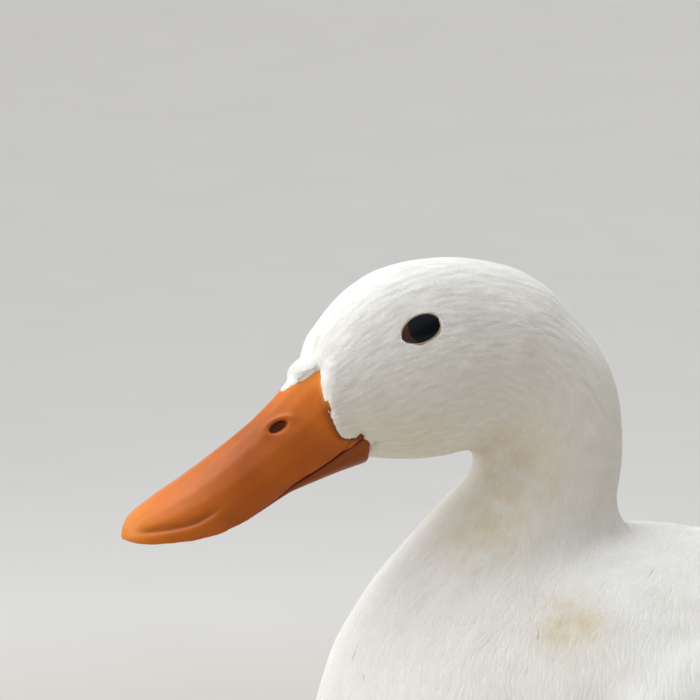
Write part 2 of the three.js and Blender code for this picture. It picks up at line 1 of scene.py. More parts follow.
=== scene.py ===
"""A white Pekin duck, life size, standing at rest: a plumage of separate feathers over one skin, with a
modelled bill, eyes and webbed feet. It faces -X, its left side is towards -Y, and it stands on the floor at
Z 0."""

import math

import bmesh
import bpy
import numpy as np
from mathutils import Matrix, Vector, kdtree, noise
from mathutils.bvhtree import BVHTree


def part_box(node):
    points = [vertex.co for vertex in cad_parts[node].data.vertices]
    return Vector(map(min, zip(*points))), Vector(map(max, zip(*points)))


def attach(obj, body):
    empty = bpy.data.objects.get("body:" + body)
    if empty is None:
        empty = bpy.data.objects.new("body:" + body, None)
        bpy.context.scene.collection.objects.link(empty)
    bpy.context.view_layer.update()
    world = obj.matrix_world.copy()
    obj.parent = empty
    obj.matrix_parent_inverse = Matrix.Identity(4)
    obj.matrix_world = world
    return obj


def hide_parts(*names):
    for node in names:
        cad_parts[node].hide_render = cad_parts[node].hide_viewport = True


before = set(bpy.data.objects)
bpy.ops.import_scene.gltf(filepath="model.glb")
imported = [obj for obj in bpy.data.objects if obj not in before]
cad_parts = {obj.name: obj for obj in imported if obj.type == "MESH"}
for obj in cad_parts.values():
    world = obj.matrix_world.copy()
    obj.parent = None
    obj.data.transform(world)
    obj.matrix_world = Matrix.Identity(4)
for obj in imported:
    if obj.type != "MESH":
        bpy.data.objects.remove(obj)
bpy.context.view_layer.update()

# ---------------------------------------------------------------- the view
# Seen from a little in front of the duck's left side and a little above its eye, through a long lens a
# metre away. The eye sits right of the middle of the picture and above it, and the back runs out of the
# picture on the right.
MM = 0.001
VIEW_AZIMUTH = -24
VIEW_ELEVATION = 4.5
VIEW_DISTANCE = 1000 * MM
VIEW_LENS = 171.43  # on a 36 mm sensor
EYE_RIGHT_OF_CENTRE = 21.3 * MM
EYE_ABOVE_CENTRE = 6.9 * MM

eye_low, eye_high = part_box("eye_left")
near_eye = Vector((
    eye_low.x / 2 + eye_high.x / 2 - 0.6 * MM,
    eye_low.y + 0.8 * MM,
    eye_low.z / 2 + eye_high.z / 2,
))
camera = bpy.data.objects.new("camera", bpy.data.cameras.new("camera"))
bpy.context.scene.collection.objects.link(camera)
camera.data.lens = VIEW_LENS
camera.data.clip_end = 40
pitch = Matrix.Rotation(math.radians(90 - VIEW_ELEVATION), 3, "X")
turn = Matrix.Rotation(math.radians(VIEW_AZIMUTH), 3, "Z") @ pitch
camera.rotation_euler = turn.to_euler()
camera.location = near_eye + turn @ Vector((-EYE_RIGHT_OF_CENTRE, -EYE_ABOVE_CENTRE, VIEW_DISTANCE))
bpy.context.scene.camera = camera

# ---------------------------------------------------------------- the bill
# Smooth leathery orange skin over horn: a broad upper bill with a rolled rim and an oval nostril on each
# side, and a thinner lower bill that shows at the corner of the mouth. Each is cast finely from its solid,
# then worked.
BILL_CELL = 0.5 * MM
BILL_PITCH = math.radians(22)
mouth = Vector((near_eye.x - 18 * MM, 0, near_eye.z - 32.2 * MM))


def cast(name, nodes, cell, end=None):
    """A new mesh round copies of CAD nodes, in cells of one size, cut off square at an end towards +X."""
    bm = bmesh.new()
    for node in nodes:
        bm.from_mesh(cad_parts[node].data)
    bmesh.ops.remove_doubles(bm, verts=bm.verts, dist=0.01 * MM)
    if end is not None:
        whole = bm.verts[:] + bm.edges[:] + bm.faces[:]
        plane = {"plane_co": (end, 0, 0), "plane_no": (1, 0, 0)}
        cut = bmesh.ops.bisect_plane(bm, geom=whole, clear_outer=True, **plane)
        rim = [edge for edge in cut["geom_cut"] if isinstance(edge, bmesh.types.BMEdge)]
        bmesh.ops.holes_fill(bm, edges=rim)
    mesh = bpy.data.meshes.new(name)
    bm.to_mesh(mesh)
    bm.free()
    piece = bpy.data.objects.new(name, mesh)
    bpy.context.scene.collection.objects.link(piece)
    remesh = piece.modifiers.new("remesh", "REMESH")
    remesh.mode = "VOXEL"
    remesh.voxel_size = cell
    return piece


def settled(piece):
    """The piece with its modifiers turned into plain mesh."""
    held = bpy.data.meshes.new_from_object(piece.evaluated_get(bpy.context.evaluated_depsgraph_get()))
    piece.modifiers.clear()
    piece.data = held
    piece.data.shade_smooth()
    return piece


def points_of(mesh):
    flat = np.empty(len(mesh.vertices) * 3)
    mesh.vertices.foreach_get("co", flat)
    return flat.reshape(-1, 3)


def tree_of(mesh):
    """A mesh as a tree, for finding the nearest place on it."""
    return BVHTree.FromPolygons(points_of(mesh).tolist(), [list(face.vertices) for face in mesh.polygons])


def normals_of(mesh):
    flat = np.empty(len(mesh.vertices) * 3, np.float32)
    mesh.vertex_normals.foreach_get("vector", flat)
    return flat.reshape(-1, 3).astype(float)


def move_points(mesh, points):
    mesh.vertices.foreach_set("co", points.astype(np.float32).ravel())
    mesh.update()


def smoothed(piece, rounds, weights=None):
    """Smooths a settled piece, each point as much as its weight from 0 to 1 says."""
    smooth = piece.modifiers.new("smooth", "SMOOTH")
    smooth.factor = 0.5
    smooth.iterations = rounds
    if weights is not None:
        group = piece.vertex_groups.new(name="soft")
        for level in range(1, 11):
            which = np.nonzero(np.round(weights * 10) == level)[0].tolist()
            group.add(which, level / 10, "REPLACE")
        smooth.vertex_group = "soft"
    settled(piece)
    piece.vertex_groups.clear()
    return piece


def linear(code):
    """An sRGB hex colour as linear red, green, blue and alpha."""
    parts = [int(code[i : i + 2], 16) / 255 for i in (1, 3, 5)]
    return (*[v / 12.92 if v <= 0.04045 else ((v + 0.055) / 1.055) ** 2.4 for v in parts], 1)


def add_node(tree, kind, inputs=None, **settings):
    """A node with its settings, and its inputs as values or as the outputs they are linked to."""
    node = tree.nodes.new("ShaderNode" + kind)
    for key, value in settings.items():
        setattr(node, key, value)
    for key, value in (inputs or {}).items():
        if isinstance(value, bpy.types.NodeSocket):
            tree.links.new(value, node.inputs[key])
        else:
            node.inputs[key].default_value = value
    return node


def blend(tree, factor, first, second):
    """One colour that turns into another as the factor goes from 0 to 1."""
    return add_node(tree, "Mix", {"Factor": factor, 6: first, 7: second}, data_type="RGBA").outputs[2]


def finish_of(name, **values):
    """A new material: its node tree and its shader, with constants set on the shader's own sockets."""
    material = bpy.data.materials.new(name)
    material.use_nodes = True
    tree = material.node_tree
    shader = tree.nodes["Principled BSDF"]
    for key, value in values.items():
        shader.inputs[key.replace("_", " ")].default_value = value
    return material, tree, shader


def in_bill(points):
    """Millimetres ahead of the corner of the mouth, to the right, and up from the line to the tip."""
    off = (points - np.array(mouth)) / MM
    ahead = -off[:, 0] * math.cos(BILL_PITCH) - off[:, 2] * math.sin(BILL_PITCH)
    up = -off[:, 0] * math.sin(BILL_PITCH) + off[:, 2] * math.cos(BILL_PITCH)
    return ahead, off[:, 1], up


def ridge(distance, width):
    """1 on a line, falling to 0 over a width on both sides."""
    return np.exp(-((distance / width) ** 2))


def ramp(value, low, high):
    """0 up to low, 1 from high on, and smooth between them."""
    t = np.clip((value - low) / (high - low), 0, 1)
    return t * t * (3 - 2 * t)


def marked(mesh, name, values):
    """Keeps a value for each point, for a material to read."""
    mesh.attributes.new(name, "FLOAT", "POINT").data.foreach_set("value", values.astype(np.float32))


def bill_skin(name, hexes):
    """Waxy skin with a little light under it: golden towards the tip; golden along the ridge and deeper down
    the sides, which is painted light from above and painted shade below; mottled, finely lined, and darkened
    with painted shade where it is marked: inside the nostrils, in the creases and along the edge of the
    feathers."""
    material, tree, shader = finish_of(name, IOR=1.45, Subsurface_Weight=0.06, Subsurface_Scale=0.0015)
    shader.inputs["Specular IOR Level"].default_value = 0.4
    shader.inputs["Subsurface Radius"].default_value = (1.0, 0.4, 0.12)
    place = add_node(tree, "TexCoord").outputs["Object"]
    local = add_node(tree, "VectorMath", {0: place, 1: mouth}, operation="SUBTRACT").outputs[0]
    pitched = {"Vector": local, "Angle": -BILL_PITCH}
    level = add_node(tree, "VectorRotate", pitched, rotation_type="Y_AXIS").outputs[0]
    parts = add_node(tree, "SeparateXYZ", {0: level})
    # Higher up the colour turns golden, lower down a deeper orange: painted light from above and painted
    # shade below.
    rise = {"Value": parts.outputs[2], "From Min": -0.009, "From Max": 0.02, "To Max": 0.68}
    height = add_node(tree, "MapRange", rise).outputs[0]
    reach = {"Value": parts.outputs[0], "From Min": -0.03, "From Max": -0.07, "To Max": 0.75}
    tip = add_node(tree, "MapRange", reach).outputs[0]
    mottling = {"Vector": level, "Scale": 1 / 0.009, "Detail": 5.0, "Roughness": 0.55}
    wave = add_node(tree, "TexNoise", mottling).outputs[0]
    mixed = add_node(tree, "Math", {0: wave, 1: 0.3, 2: height}, operation="MULTIPLY_ADD").outputs[0]
    mixed = add_node(tree, "Math", {0: mixed, 1: tip}, operation="ADD").outputs[0]
    scale = add_node(tree, "ValToRGB", {0: mixed})
    low, high = scale.color_ramp.elements
    low.position, low.color = 0.1, linear(hexes[0])
    high.position, high.color = 1.0, linear(hexes[2])
    scale.color_ramp.elements.new(0.5).color = linear(hexes[1])
    fleck = add_node(tree, "TexNoise", {"Vector": level, "Scale": 1 / 0.0016, "Detail": 3.0}).outputs[0]
    sparse = {"Value": fleck, "From Min": 0.62, "From Max": 0.78, "To Max": 0.2}
    flecks = add_node(tree, "MapRange", sparse).outputs[0]
    flecked = blend(tree, flecks, scale.outputs[0], linear("#a9500f"))
    # Painted shade: where the mark is high the colour turns to a dark brown.
    painted_shade = add_node(tree, "Attribute", attribute_name="painted_shade").outputs["Fac"]
    tree.links.new(blend(tree, painted_shade, flecked, linear("#4a1208")), shader.inputs["Base Color"])
    stretched = add_node(tree, "Mapping", {"Vector": level, "Scale": (0.35, 1, 1)}).outputs[0]
    grain = add_node(tree, "TexNoise", {"Vector": stretched, "Scale": 1 / 0.0011, "Detail": 4.0}).outputs[0]
    bump = add_node(tree, "Bump", {"Strength": 0.3, "Distance": 0.1 * MM, "Height": grain})
    tree.links.new(bump.outputs[0], shader.inputs["Normal"])
    rough = add_node(tree, "MapRange", {"Value": wave, "To Min": 0.36, "To Max": 0.52}).outputs[0]
    tree.links.new(rough, shader.inputs["Roughness"])
    return material


# The edge of the face feathers, in millimetres: how far ahead of the corner of the mouth they reach at each
# height, and how far they run on over the forehead at each distance from the middle.
EDGE_HEIGHT = [-20, -11, -6.3, -3.6, -1.5, -0.1, 1.2, 3.3, 6.1, 9.4, 13.4, 17.1, 20.3, 21.9, 23, 26]
EDGE_REACH = [-3, -3, -2.3, -3, 0.2, 3.2, 5, 5.5, 5.7, 5.7, 5.1, 3.8, 1.8, 1, 8, 14]
FOREHEAD_SIDE = [0, 1.4, 1.8, 2.7, 4.1, 4.8, 5.3, 5.6, 6]
FOREHEAD_REACH = [13.5, 12.8, 11.2, 9.7, 7.3, 4.5, 2.2, 1, -3]


def past_feathers(points):
    """How many millimetres ahead of the edge of the feathers each point lies."""
    ahead, side, up = in_bill(points)
    tongue = np.where(up > 12, np.interp(np.abs(side), FOREHEAD_SIDE, FOREHEAD_REACH), -3)
    return ahead - np.maximum(np.interp(up, EDGE_HEIGHT, EDGE_REACH), tongue)


# The rim parts from the side a little past half way along, and runs on to the tip as a rolled lip under a
# crease.
RIM_AHEAD = [44, 49, 53, 57, 61, 65, 68, 72, 76]
RIM_UP = [-1.6, -2.1, -2.6, -2.8, -2.3, -1.5, -0.8, 0.1, 1.0]
# Along the mouth the upper bill ends in a narrow raised welt.
EDGE_AHEAD = [0, 2, 6.5, 12, 17, 22, 28, 36]
EDGE_UP = [-1.8, -2.6, -5.2, -6.8, -7.3, -7.2, -7.8, -8.6]
NOSTRIL = (20.6, 11.2)  # its middle, ahead and up
NOSTRIL_HALF = (3.5, 1.45)  # half its length and height
NOSTRIL_TILT = math.radians(6)

upper_bill = smoothed(settled(cast("bill_upper", ["upper_bill", "head"], BILL_CELL, mouth.x + 6 * MM)), 16)
points, ups = points_of(upper_bill.data), normals_of(upper_bill.data)
ahead, side, up = in_bill(points)
on_side = ramp(np.abs(side), 3.5, 6.5)
from_rim = up - np.interp(ahead, RIM_AHEAD, RIM_UP)
upright = ramp(np.hypot(ups[:, 0], ups[:, 1]), 0.45, 0.8)  # leaves the underside alone
crease = (
    ridge(np.where(from_rim > 0, from_rim / 1.4, from_rim / 0.5), 1)
    * ramp(ahead, 46, 56)
    * (1 - ramp(ahead, 70, 74))
)
lip = ridge(from_rim + 1.9, 1.4) * ramp(ahead, 46, 58) * upright
from_edge = up - np.interp(ahead, EDGE_AHEAD, EDGE_UP)
welt = ridge(from_edge - 0.5, 0.7) * ramp(ahead, -2, 4) * (1 - ramp(ahead, 24, 36)) * on_side
groove = ridge(from_edge - 1.9, 0.55) * ramp(ahead, -2, 4) * (1 - ramp(ahead, 20, 32)) * on_side
nose_ahead, nose_up = ahead - NOSTRIL[0], up - NOSTRIL[1]
nose_along = (nose_ahead * math.cos(NOSTRIL_TILT) - nose_up * math.sin(NOSTRIL_TILT)) / NOSTRIL_HALF[0]
nose_across = (nose_up * math.cos(NOSTRIL_TILT) + nose_ahead * math.sin(NOSTRIL_TILT)) / NOSTRIL_HALF[1]
from_nose = np.hypot(nose_along, nose_across)
on_flank = ramp(np.abs(side), 2, 4)
pit = (1 - ramp(from_nose, 0.55, 1.0)) * on_flank
collar = ridge(from_nose - 1.4, 0.35) * ramp(nose_across, -1.4, 0.6) * on_flank
nail = np.hypot((ahead - 69.5) / 6.5, side / 4.6)
out = 0.35 * lip - 0.75 * crease + 0.3 * welt - 0.3 * groove + 0.4 * collar - 0.9 * pit
out += 0.2 * (1 - ramp(nail, 0.8, 1.1)) * ramp(up, 0, 2)
past = past_feathers(points)
out *= ramp(past, 0, 2)
move_points(upper_bill.data, points + ups * out[:, None] * MM)
# Painted shade: darkest inside the nostril pits, less in the crease over the rim and the groove above the
# welt, and a painted shadow along the edge of the feathers below the forehead.
painted_shade = 0.9 * pit + 0.35 * crease + 0.3 * groove
painted_shade += 0.6 * (1 - ramp(past, 0, 2.4)) * (1 - ramp(up, 9, 17))  # along the edge of the feathers
marked(upper_bill.data, "painted_shade", np.clip(painted_shade, 0, 1))
upper_bill.data.materials.append(bill_skin("upper bill leather", ("#ad540c", "#d6721a", "#f2a432")))
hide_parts("upper_bill")
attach(upper_bill, "root")

lower_bill = smoothed(settled(cast("bill_lower", ["lower_bill"], BILL_CELL)), 8)
points = points_of(lower_bill.data) + normals_of(lower_bill.data) * 0.2 * MM
within = ramp(in_bill(points)[0], 40, 56)  # towards the tip it lies inside the upper bill
shorter = 0.02 * (mouth.x - points[:, 0])
narrower = -0.14 * points[:, 1]
higher = np.full(len(points), 1.2 * MM)
points += np.column_stack([shorter, narrower, higher]) * within[:, None]
move_points(lower_bill.data, points)
# The lower bill lies in the shade of the upper one, and that shade is painted: it is darkened a little all
# over and given deeper colours than the upper bill.
marked(lower_bill.data, "painted_shade", np.full(len(lower_bill.data.vertices), 0.1))
lower_bill.data.materials.append(bill_skin("lower bill leather in painted shade", ("#8c420a", "#a8560e", "#c4741c")))
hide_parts("lower_bill")
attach(lower_bill, "root")

# ---------------------------------------------------------------- the skin
# One skin under all the feathers, from the bill to the root of the tail and down to the hocks. It is cast
# from the solids of the body, smoothed, and drawn in by the depth of the plumage: least on the face, most
# on the body.
FLESH = ["head", "neck", "trunk", "tail", "wing_left", "wing_right", "thigh_left", "thigh_right"]
FILLED = ["upper_bill", "lower_bill", "eye_left", "eye_right"]  # it runs on under these
SKIN_CELL = 1.35 * MM
HOCK = (43, 44)  # mm: the x of both, and half the distance between them
CUFF = (66, 86)  # mm: over these heights the thighs close round the shanks
TAIL_END = 189 * MM  # of the flesh; only feathers go on behind it


def spot(tree, place, middle, reach):
    """1 at a place in millimetres, falling to 0 at its reach."""
    apart = add_node(tree, "VectorMath", {0: place, 1: [v * MM for v in middle]}, operation="DISTANCE")
    fade = {"Value": apart.outputs["Value"], "From Min": 0.0, "From Max": reach * MM}
    fade |= {"To Min": 1.0, "To Max": 0.0}
    return add_node(tree, "MapRange", fade, interpolation_type="SMOOTHSTEP").outputs[0]


# Feather vane: keratin barbs hooked into a matt white sheet, so it shows no highlight. Preen oil and mud
# leave pale straw stains on the neck and at its foot, and under the chin the same straw colour is painted
# shade, the warm shade under the head: places and reach in millimetres, and strength.
BARB_SPACING = 0.7  # mm; real barbs are 0.3 mm apart, too fine to show
STAINS_AND_CHIN_SHADE = [
    ((-116, -18, 261), 24, 0.75),
    ((-101, -47, 234), 19, 0.9),
    ((-103, -15, 278), 23, 0.7),
    ((-120, 30, 255), 28, 0.4),
    # under the chin: painted shade, the warm shade under the head
    ((-136, -15, 287), 16, 0.3),
]


def plumage(name, barbs):
    """Faintly clouded white, toned a little from lock to lock, with the stains, the painted shade under the
    chin and, where asked, barbs.
    """
    material, tree, shader = finish_of(name, Roughness=0.8, Sheen_Weight=0.2, Sheen_Roughness=0.5, IOR=1.45)
    shader.inputs["Specular IOR Level"].default_value = 0.15
    place = add_node(tree, "TexCoord").outputs["Object"]
    cloud = add_node(tree, "TexNoise", {"Vector": place, "Scale": 1 / 0.03, "Detail": 4.0, "Roughness": 0.6})
    white = blend(tree, cloud.outputs[0], linear("#f6f4ee"), linear("#fbfaf8"))
    stain_and_shade = 0.0
    for middle, reach, strength in STAINS_AND_CHIN_SHADE:
        near = spot(tree, place, middle, reach)
        stain_and_shade = add_node(tree, "Math", {0: near, 1: strength, 2: stain_and_shade}, operation="MULTIPLY_ADD").outputs[0]
    smears = {"Vector": place, "Scale": 1 / 0.008, "Detail": 5.0, "Roughness": 0.65}
    smear = add_node(tree, "TexNoise", smears).outputs[0]
    ragged = add_node(tree, "MapRange", {"Value": smear, "From Min": 0.2, "From Max": 0.8}).outputs[0]
    stain_and_shade = add_node(tree, "Math", {0: stain_and_shade, 1: ragged}, operation="MULTIPLY", use_clamp=True).outputs[0]
    stained_and_shaded = blend(tree, stain_and_shade, white, linear("#dcc48f"))
    tone = add_node(tree, "Attribute", attribute_name="tone").outputs["Fac"]
    shade = add_node(tree, "MapRange", {"Value": tone, "To Min": 1.0, "To Max": 0.88}).outputs[0]
    toned = add_node(tree, "VectorMath", {0: stained_and_shaded, "Scale": shade}, operation="SCALE")
    tree.links.new(toned.outputs[0], shader.inputs["Base Color"])
    if barbs:
        vane = add_node(tree, "SeparateXYZ", {0: add_node(tree, "UVMap", uv_map="vane").outputs[0]})
        from_shaft = add_node(tree, "Math", {0: vane.outputs[0]}, operation="ABSOLUTE").outputs[0]
        slant = {0: from_shaft, 1: -1.2, 2: vane.outputs[1]}
        slanted = add_node(tree, "Math", slant, operation="MULTIPLY_ADD").outputs[0]
        often = 2 * math.pi / BARB_SPACING
        turns = add_node(tree, "Math", {0: slanted, 1: often}, operation="MULTIPLY").outputs[0]
        ridges = add_node(tree, "Math", {0: turns}, operation="SINE").outputs[0]
        bump = add_node(tree, "Bump", {"Strength": 0.4, "Distance": 0.1 * MM, "Height": ridges})
        tree.links.new(bump.outputs[0], shader.inputs["Normal"])
    return material


# The line that the feathers follow runs through the middle of the body: from the bill back through the
# head, down the neck, and along the trunk to the tail. x and z in millimetres.
SPINE = [
    [-172, 294], [-158, 300], [-140, 309], [-120, 313], [-100, 311], [-88, 301], [-84, 287],
    [-85, 274], [-90, 261], [-100, 245], [-107, 230], [-109, 214], [-104, 198], [-88, 184],
    [-60, 176], [-20, 171], [30, 170], [80, 174], [125, 184], [165, 195], [215, 208],
]
SPINE_STEPS = 6  # samples between two of its points


def rounded_line(corners, steps):
    """Points on a smooth curve through the corners."""
    line = np.array(corners, float)
    line = np.vstack([2 * line[0] - line[1], line, 2 * line[-1] - line[-2]])
    u = np.arange(steps)[:, None] / steps
    spans = []
    for a, b, c, d in zip(line, line[1:], line[2:], line[3:]):
        spans.append(b + 0.5 * u * (c - a + u * (2 * a - 5 * b + 4 * c - d + u * (3 * (b - c) + d - a))))
    return np.vstack([*spans, line[-2:-1]])


spine = rounded_line([[x * MM, 0, z * MM] for x, z in SPINE], SPINE_STEPS)
spine_way = np.gradient(spine, axis=0)
spine_way /= np.linalg.norm(spine_way, axis=1)[:, None]
spine_run = np.concatenate([[0], np.cumsum(np.linalg.norm(np.diff(spine, axis=0), axis=1))])


def unit(vectors):
    return vectors / np.maximum(np.linalg.norm(vectors, axis=-1, keepdims=True), 1e-12)


def along_body(points):
    """For each point: how far along the spine it lies, and the way the spine runs there."""
    run, way = np.empty(len(points)), np.empty((len(points), 3))
    for start in range(0, len(points), 20000):
        part = slice(start, start + 20000)
        apart = np.linalg.norm(points[part, None] - spine[None], axis=2)
        pull = (apart.min(axis=1, keepdims=True) / apart) ** 8
        pull /= pull.sum(axis=1, keepdims=True)
        run[part] = pull @ spine_run
        way[part] = pull @ spine_way
    return run, unit(way)


def spread(mesh, values, rounds):
    """Each point's value blended with its neighbours', a number of times over."""
    ends = np.empty(len(mesh.edges) * 2, np.int32)
    mesh.edges.foreach_get("vertices", ends)
    a, b = ends.reshape(-1, 2).T
    touching = np.bincount(a, minlength=len(values)) + np.bincount(b, minlength=len(values))
    for _ in range(rounds):
        near = np.bincount(a, values[b], len(values)) + np.bincount(b, values[a], len(values))
        values = 0.5 * values + 0.5 * near / np.maximum(touching, 1)
    return values


# Stations along the spine, in millimetres from the bill, and how deep the plumage is there.
AT = np.array([0, 18, 45, 80, 110, 150, 190, 230, 300, 400, 470, 520]) * MM
COAT_DEPTH = np.array([0.3, 0.4, 0.45, 0.5, 0.6, 0.65, 0.8, 0.9, 1.1, 1.1, 1.0, 0.9]) * MM
FACE_ROUNDS, BODY_ROUNDS = 24, 120  # of smoothing

skin = settled(cast("skin", FLESH + FILLED, SKIN_CELL, TAIL_END))
outer = tree_of(skin.data)
smoothed(skin, FACE_ROUNDS)
run, way = along_body(points_of(skin.data))
smoothed(skin, BODY_ROUNDS, np.interp(run, AT[[3, 6]], [0.0, 1.0]))

# Smoothing shrinks it, so it is let out again to its old size, then drawn in by the depth of the plumage.
skin_points, skin_normals = points_of(skin.data), normals_of(skin.data)
found = [outer.find_nearest(point) for point in skin_points.tolist()]
short = ((np.array([hit[0] for hit in found]) - skin_points) * skin_normals).sum(axis=1)
short = spread(skin.data, np.clip(short, -3 * MM, 5 * MM), 50)
depth = np.interp(run, AT, COAT_DEPTH) + 4 * MM * ramp(past_feathers(skin_points), 2, 7) * (run < AT[3])
# The forehead feathers stand up where they meet the bill: how far, by millimetres ahead of the corner of
# the mouth.
FOOT_AHEAD, FOOT_LIFT = [-6, -2, 1, 4, 6.5, 7.5, 8.2, 9], [0, 0.4, 1.5, 2.5, 2.4, 1.7, 0.9, 0]
ahead, side, up = in_bill(skin_points)
foot = np.interp(ahead, FOOT_AHEAD, FOOT_LIFT) * ridge(side, 6) * ramp(up, 12, 16)
foot *= MM * (1 - ramp(past_feathers(skin_points), -2, 0.4))
depth -= foot
# The feathers of the neck lie in shallow furrows along it.
furrow = [noise.noise((x * 55, y * 230, z * 60)) for x, y, z in skin_points.tolist()]
depth += 0.45 * MM * np.array(furrow) * ridge(run - 0.135, 0.055)
skin_points += skin_normals * (short - depth)[:, None]
# It is drawn in between the halves of the bill, and closes round the shanks.
in_mouth = (
    ridge(up - np.interp(ahead, EDGE_AHEAD, EDGE_UP), 2.5)
    * ramp(ahead, -3, -1)
    * (1 - ramp(ahead, 14, 20))
    * (run < AT[3])
)
skin_points[:, 1] *= 1 - 0.25 * in_mouth
cuff = 1 - ramp(skin_points[:, 2], CUFF[0] * MM, CUFF[1] * MM)
hocks = np.column_stack([np.full(len(cuff), HOCK[0]), np.sign(skin_points[:, 1]) * HOCK[1]]) * MM
skin_points[:, :2] += (hocks - skin_points[:, :2]) * 0.45 * cuff[:, None]


def seated(points, surface, depths, share, lift=False):
    """The points, each moved its share of the way to its depth under a surface near it. They move outwards
    only with a lift."""
    points = points.copy()
    for i in np.nonzero(share > 0)[0].tolist():
        place, normal, _, apart = surface.find_nearest(points[i])
        over = (points[i] - np.array(place)) @ np.array(normal) + depths[i]
        if apart < 5 * MM and (over > 0 or lift):
            points[i] -= np.array(normal) * over * share[i]
    return points


# At the edge of the feathers the skin lies just under the bill, and behind it the bill's root runs in under
# the skin.
bill_tree = tree_of(upper_bill.data)
past = past_feathers(skin_points)
share = ramp(past, -5, -1.5) * (past < 6) * (run < AT[2]) * (skin_points[:, 0] < mouth.x + 3 * MM)
skin_points = seated(skin_points, bill_tree, (0.12 + 0.45 * np.maximum(past, 0)) * MM - foot, share, True)
move_points(skin.data, skin_points)
skin_normals = normals_of(skin.data)
skin.data.calc_loop_triangles()
skin_faces = np.array([triangle.vertices for triangle in skin.data.loop_triangles])
skin_tree = BVHTree.FromPolygons(skin_points.tolist(), skin_faces.tolist())
for bill in (upper_bill, lower_bill):
    points = points_of(bill.data)
    past = past_feathers(points)
    for _ in range(3):
        points = seated(points, skin_tree, (0.05 + 0.8 * np.clip(-past, 0, 2.5)) * MM, (past < 0) * 1.0)
    move_points(bill.data, points)
skin.data.materials.append(plumage("downy skin", False))
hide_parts(*FLESH)
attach(skin, "root")

# ---------------------------------------------------------------- the plumage
# White contour feathers, short and hair-fine on the face, longer down the neck, broad vanes on the body.
# Each is a thin closed blade that lies on the skin, its root under the one before it and its tip over the
# one behind.
FEATHER_LENGTH = np.array([1.8, 3, 4.2, 5.6, 7.5, 10, 13, 16, 19, 21, 21, 19]) * MM
FEATHER_WIDTH = np.array([0.5, 0.6, 0.7, 0.8, 0.95, 1.25, 2.0, 3.4, 5.5, 7, 7, 6.5]) * MM
LEG_HEIGHT = np.array([62, 80, 100, 130]) * MM  # the feathers get small again towards the hock
LEG_LENGTH = np.array([4.5, 7, 11, 16]) * MM
LEG_WIDTH = np.array([1.1, 1.8, 3, 4.5]) * MM
LEG_WAY = (0.25, 0, -1)
COVERS = np.array([9, 9, 9, 9.5, 10, 10, 9.5, 9, 8.5, 8.5, 8.5, 8])  # feathers over one point of the skin
SETTLE = 0.85  # height of a tip, as a share of the depth of the plumage
RUMP_END = np.array([235, 0, 213]) * MM  # the feathers of the rump all run towards it
rng = np.random.default_rng(8)

# Which part of the skin belongs to the thighs, and the sizes of the feathers at each of its points.
thigh_mesh = bmesh.new()
for node in ("thigh_left", "thigh_right"):
    thigh_mesh.from_mesh(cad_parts[node].data)
thigh_tree = BVHTree.FromBMesh(thigh_mesh)
thigh_mesh.free()
leg = np.zeros(len(skin_points))
for i in np.nonzero(skin_points[:, 2] < 132 * MM)[0].tolist():
    leg[i] = skin_points[i, 2] < CUFF[1] * MM or thigh_tree.find_nearest(skin_points[i])[3] < 4.5 * MM
height = skin_points[:, 2]
leg = spread(skin.data, leg, 24) * (1 - ramp(height, 104 * MM, 130 * MM))
long = np.interp(run, AT, FEATHER_LENGTH) * (1 - leg) + np.interp(height, LEG_HEIGHT, LEG_LENGTH) * leg
wide = np.interp(run, AT, FEATHER_WIDTH) * (1 - leg) + np.interp(height, LEG_HEIGHT, LEG_WIDTH) * leg
way = unit(way * (1 - leg)[:, None] + unit(np.array(LEG_WAY)) * leg[:, None] * 1.4)

# Round the rump they all run together into the root of the tail.
gather = ramp(run, 0.44, 0.49)[:, None]
way = unit(way * (1 - gather) + unit(RUMP_END - skin_points) * gather)


def strewn(spacing, tries=5):
    """Roots spread over the skin, each at least its spacing from the others: the points each lies between,
    and its share of each of them."""
    corners = skin_points[skin_faces]
    area = np.linalg.norm(np.cross(corners[:, 1] - corners[:, 0], corners[:, 2] - corners[:, 0]), axis=1) / 2
    wanted = area / spacing[skin_faces].mean(axis=1) ** 2
    count = int(tries * wanted.sum())
    chosen = skin_faces[rng.choice(len(skin_faces), count, p=wanted / wanted.sum())]
    share = np.sort(rng.random((count, 2)), axis=1)
    share = np.stack([share[:, 0], share[:, 1] - share[:, 0], 1 - share[:, 1]], axis=1)
    places = (skin_points[chosen] * share[:, :, None]).sum(axis=1).tolist()
    gaps = (spacing[chosen] * share).sum(axis=1).tolist()
    tree = kdtree.KDTree(count)
    for i, place in enumerate(places):
        tree.insert(place, i)
    tree.balance()
    gone = np.zeros(count, bool)
    kept = []
    for i, (place, gap) in enumerate(zip(places, gaps)):
        if not gone[i]:
            kept.append(i)
            gone[[j for _, j, _ in tree.find_range(place, gap)]] = True
    return chosen[kept], share[kept]


def flat_way(ways, normals):
    """Directions laid flat on the surface."""
    return unit(ways - normals * (ways * normals).sum(axis=1, keepdims=True))


def laid(roots, normals, ways, lengths, stations):
    """Follows the skin from each root along its way: the places and normals at each station, from 0 to 1.
    Where the skin ends it runs straight on."""
    places, ups = [roots], [normals]
    for step in np.diff(stations):
        ahead = places[-1] + ways * (lengths * step)[:, None]
        found = [skin_tree.find_nearest(point) for point in ahead.tolist()]
        off = ahead - np.array([hit[0] for hit in found])
        places.append(ahead - off + ways * (off * ways).sum(axis=1, keepdims=True))
        turned = flat_way(np.array([hit[1] for hit in found]), ways) * 0.5
        ups.append(unit(ups[-1] * 0.5 + turned))
        ways = flat_way(ways, ups[-1])
    return np.stack(places, axis=1), np.stack(ups, axis=1)


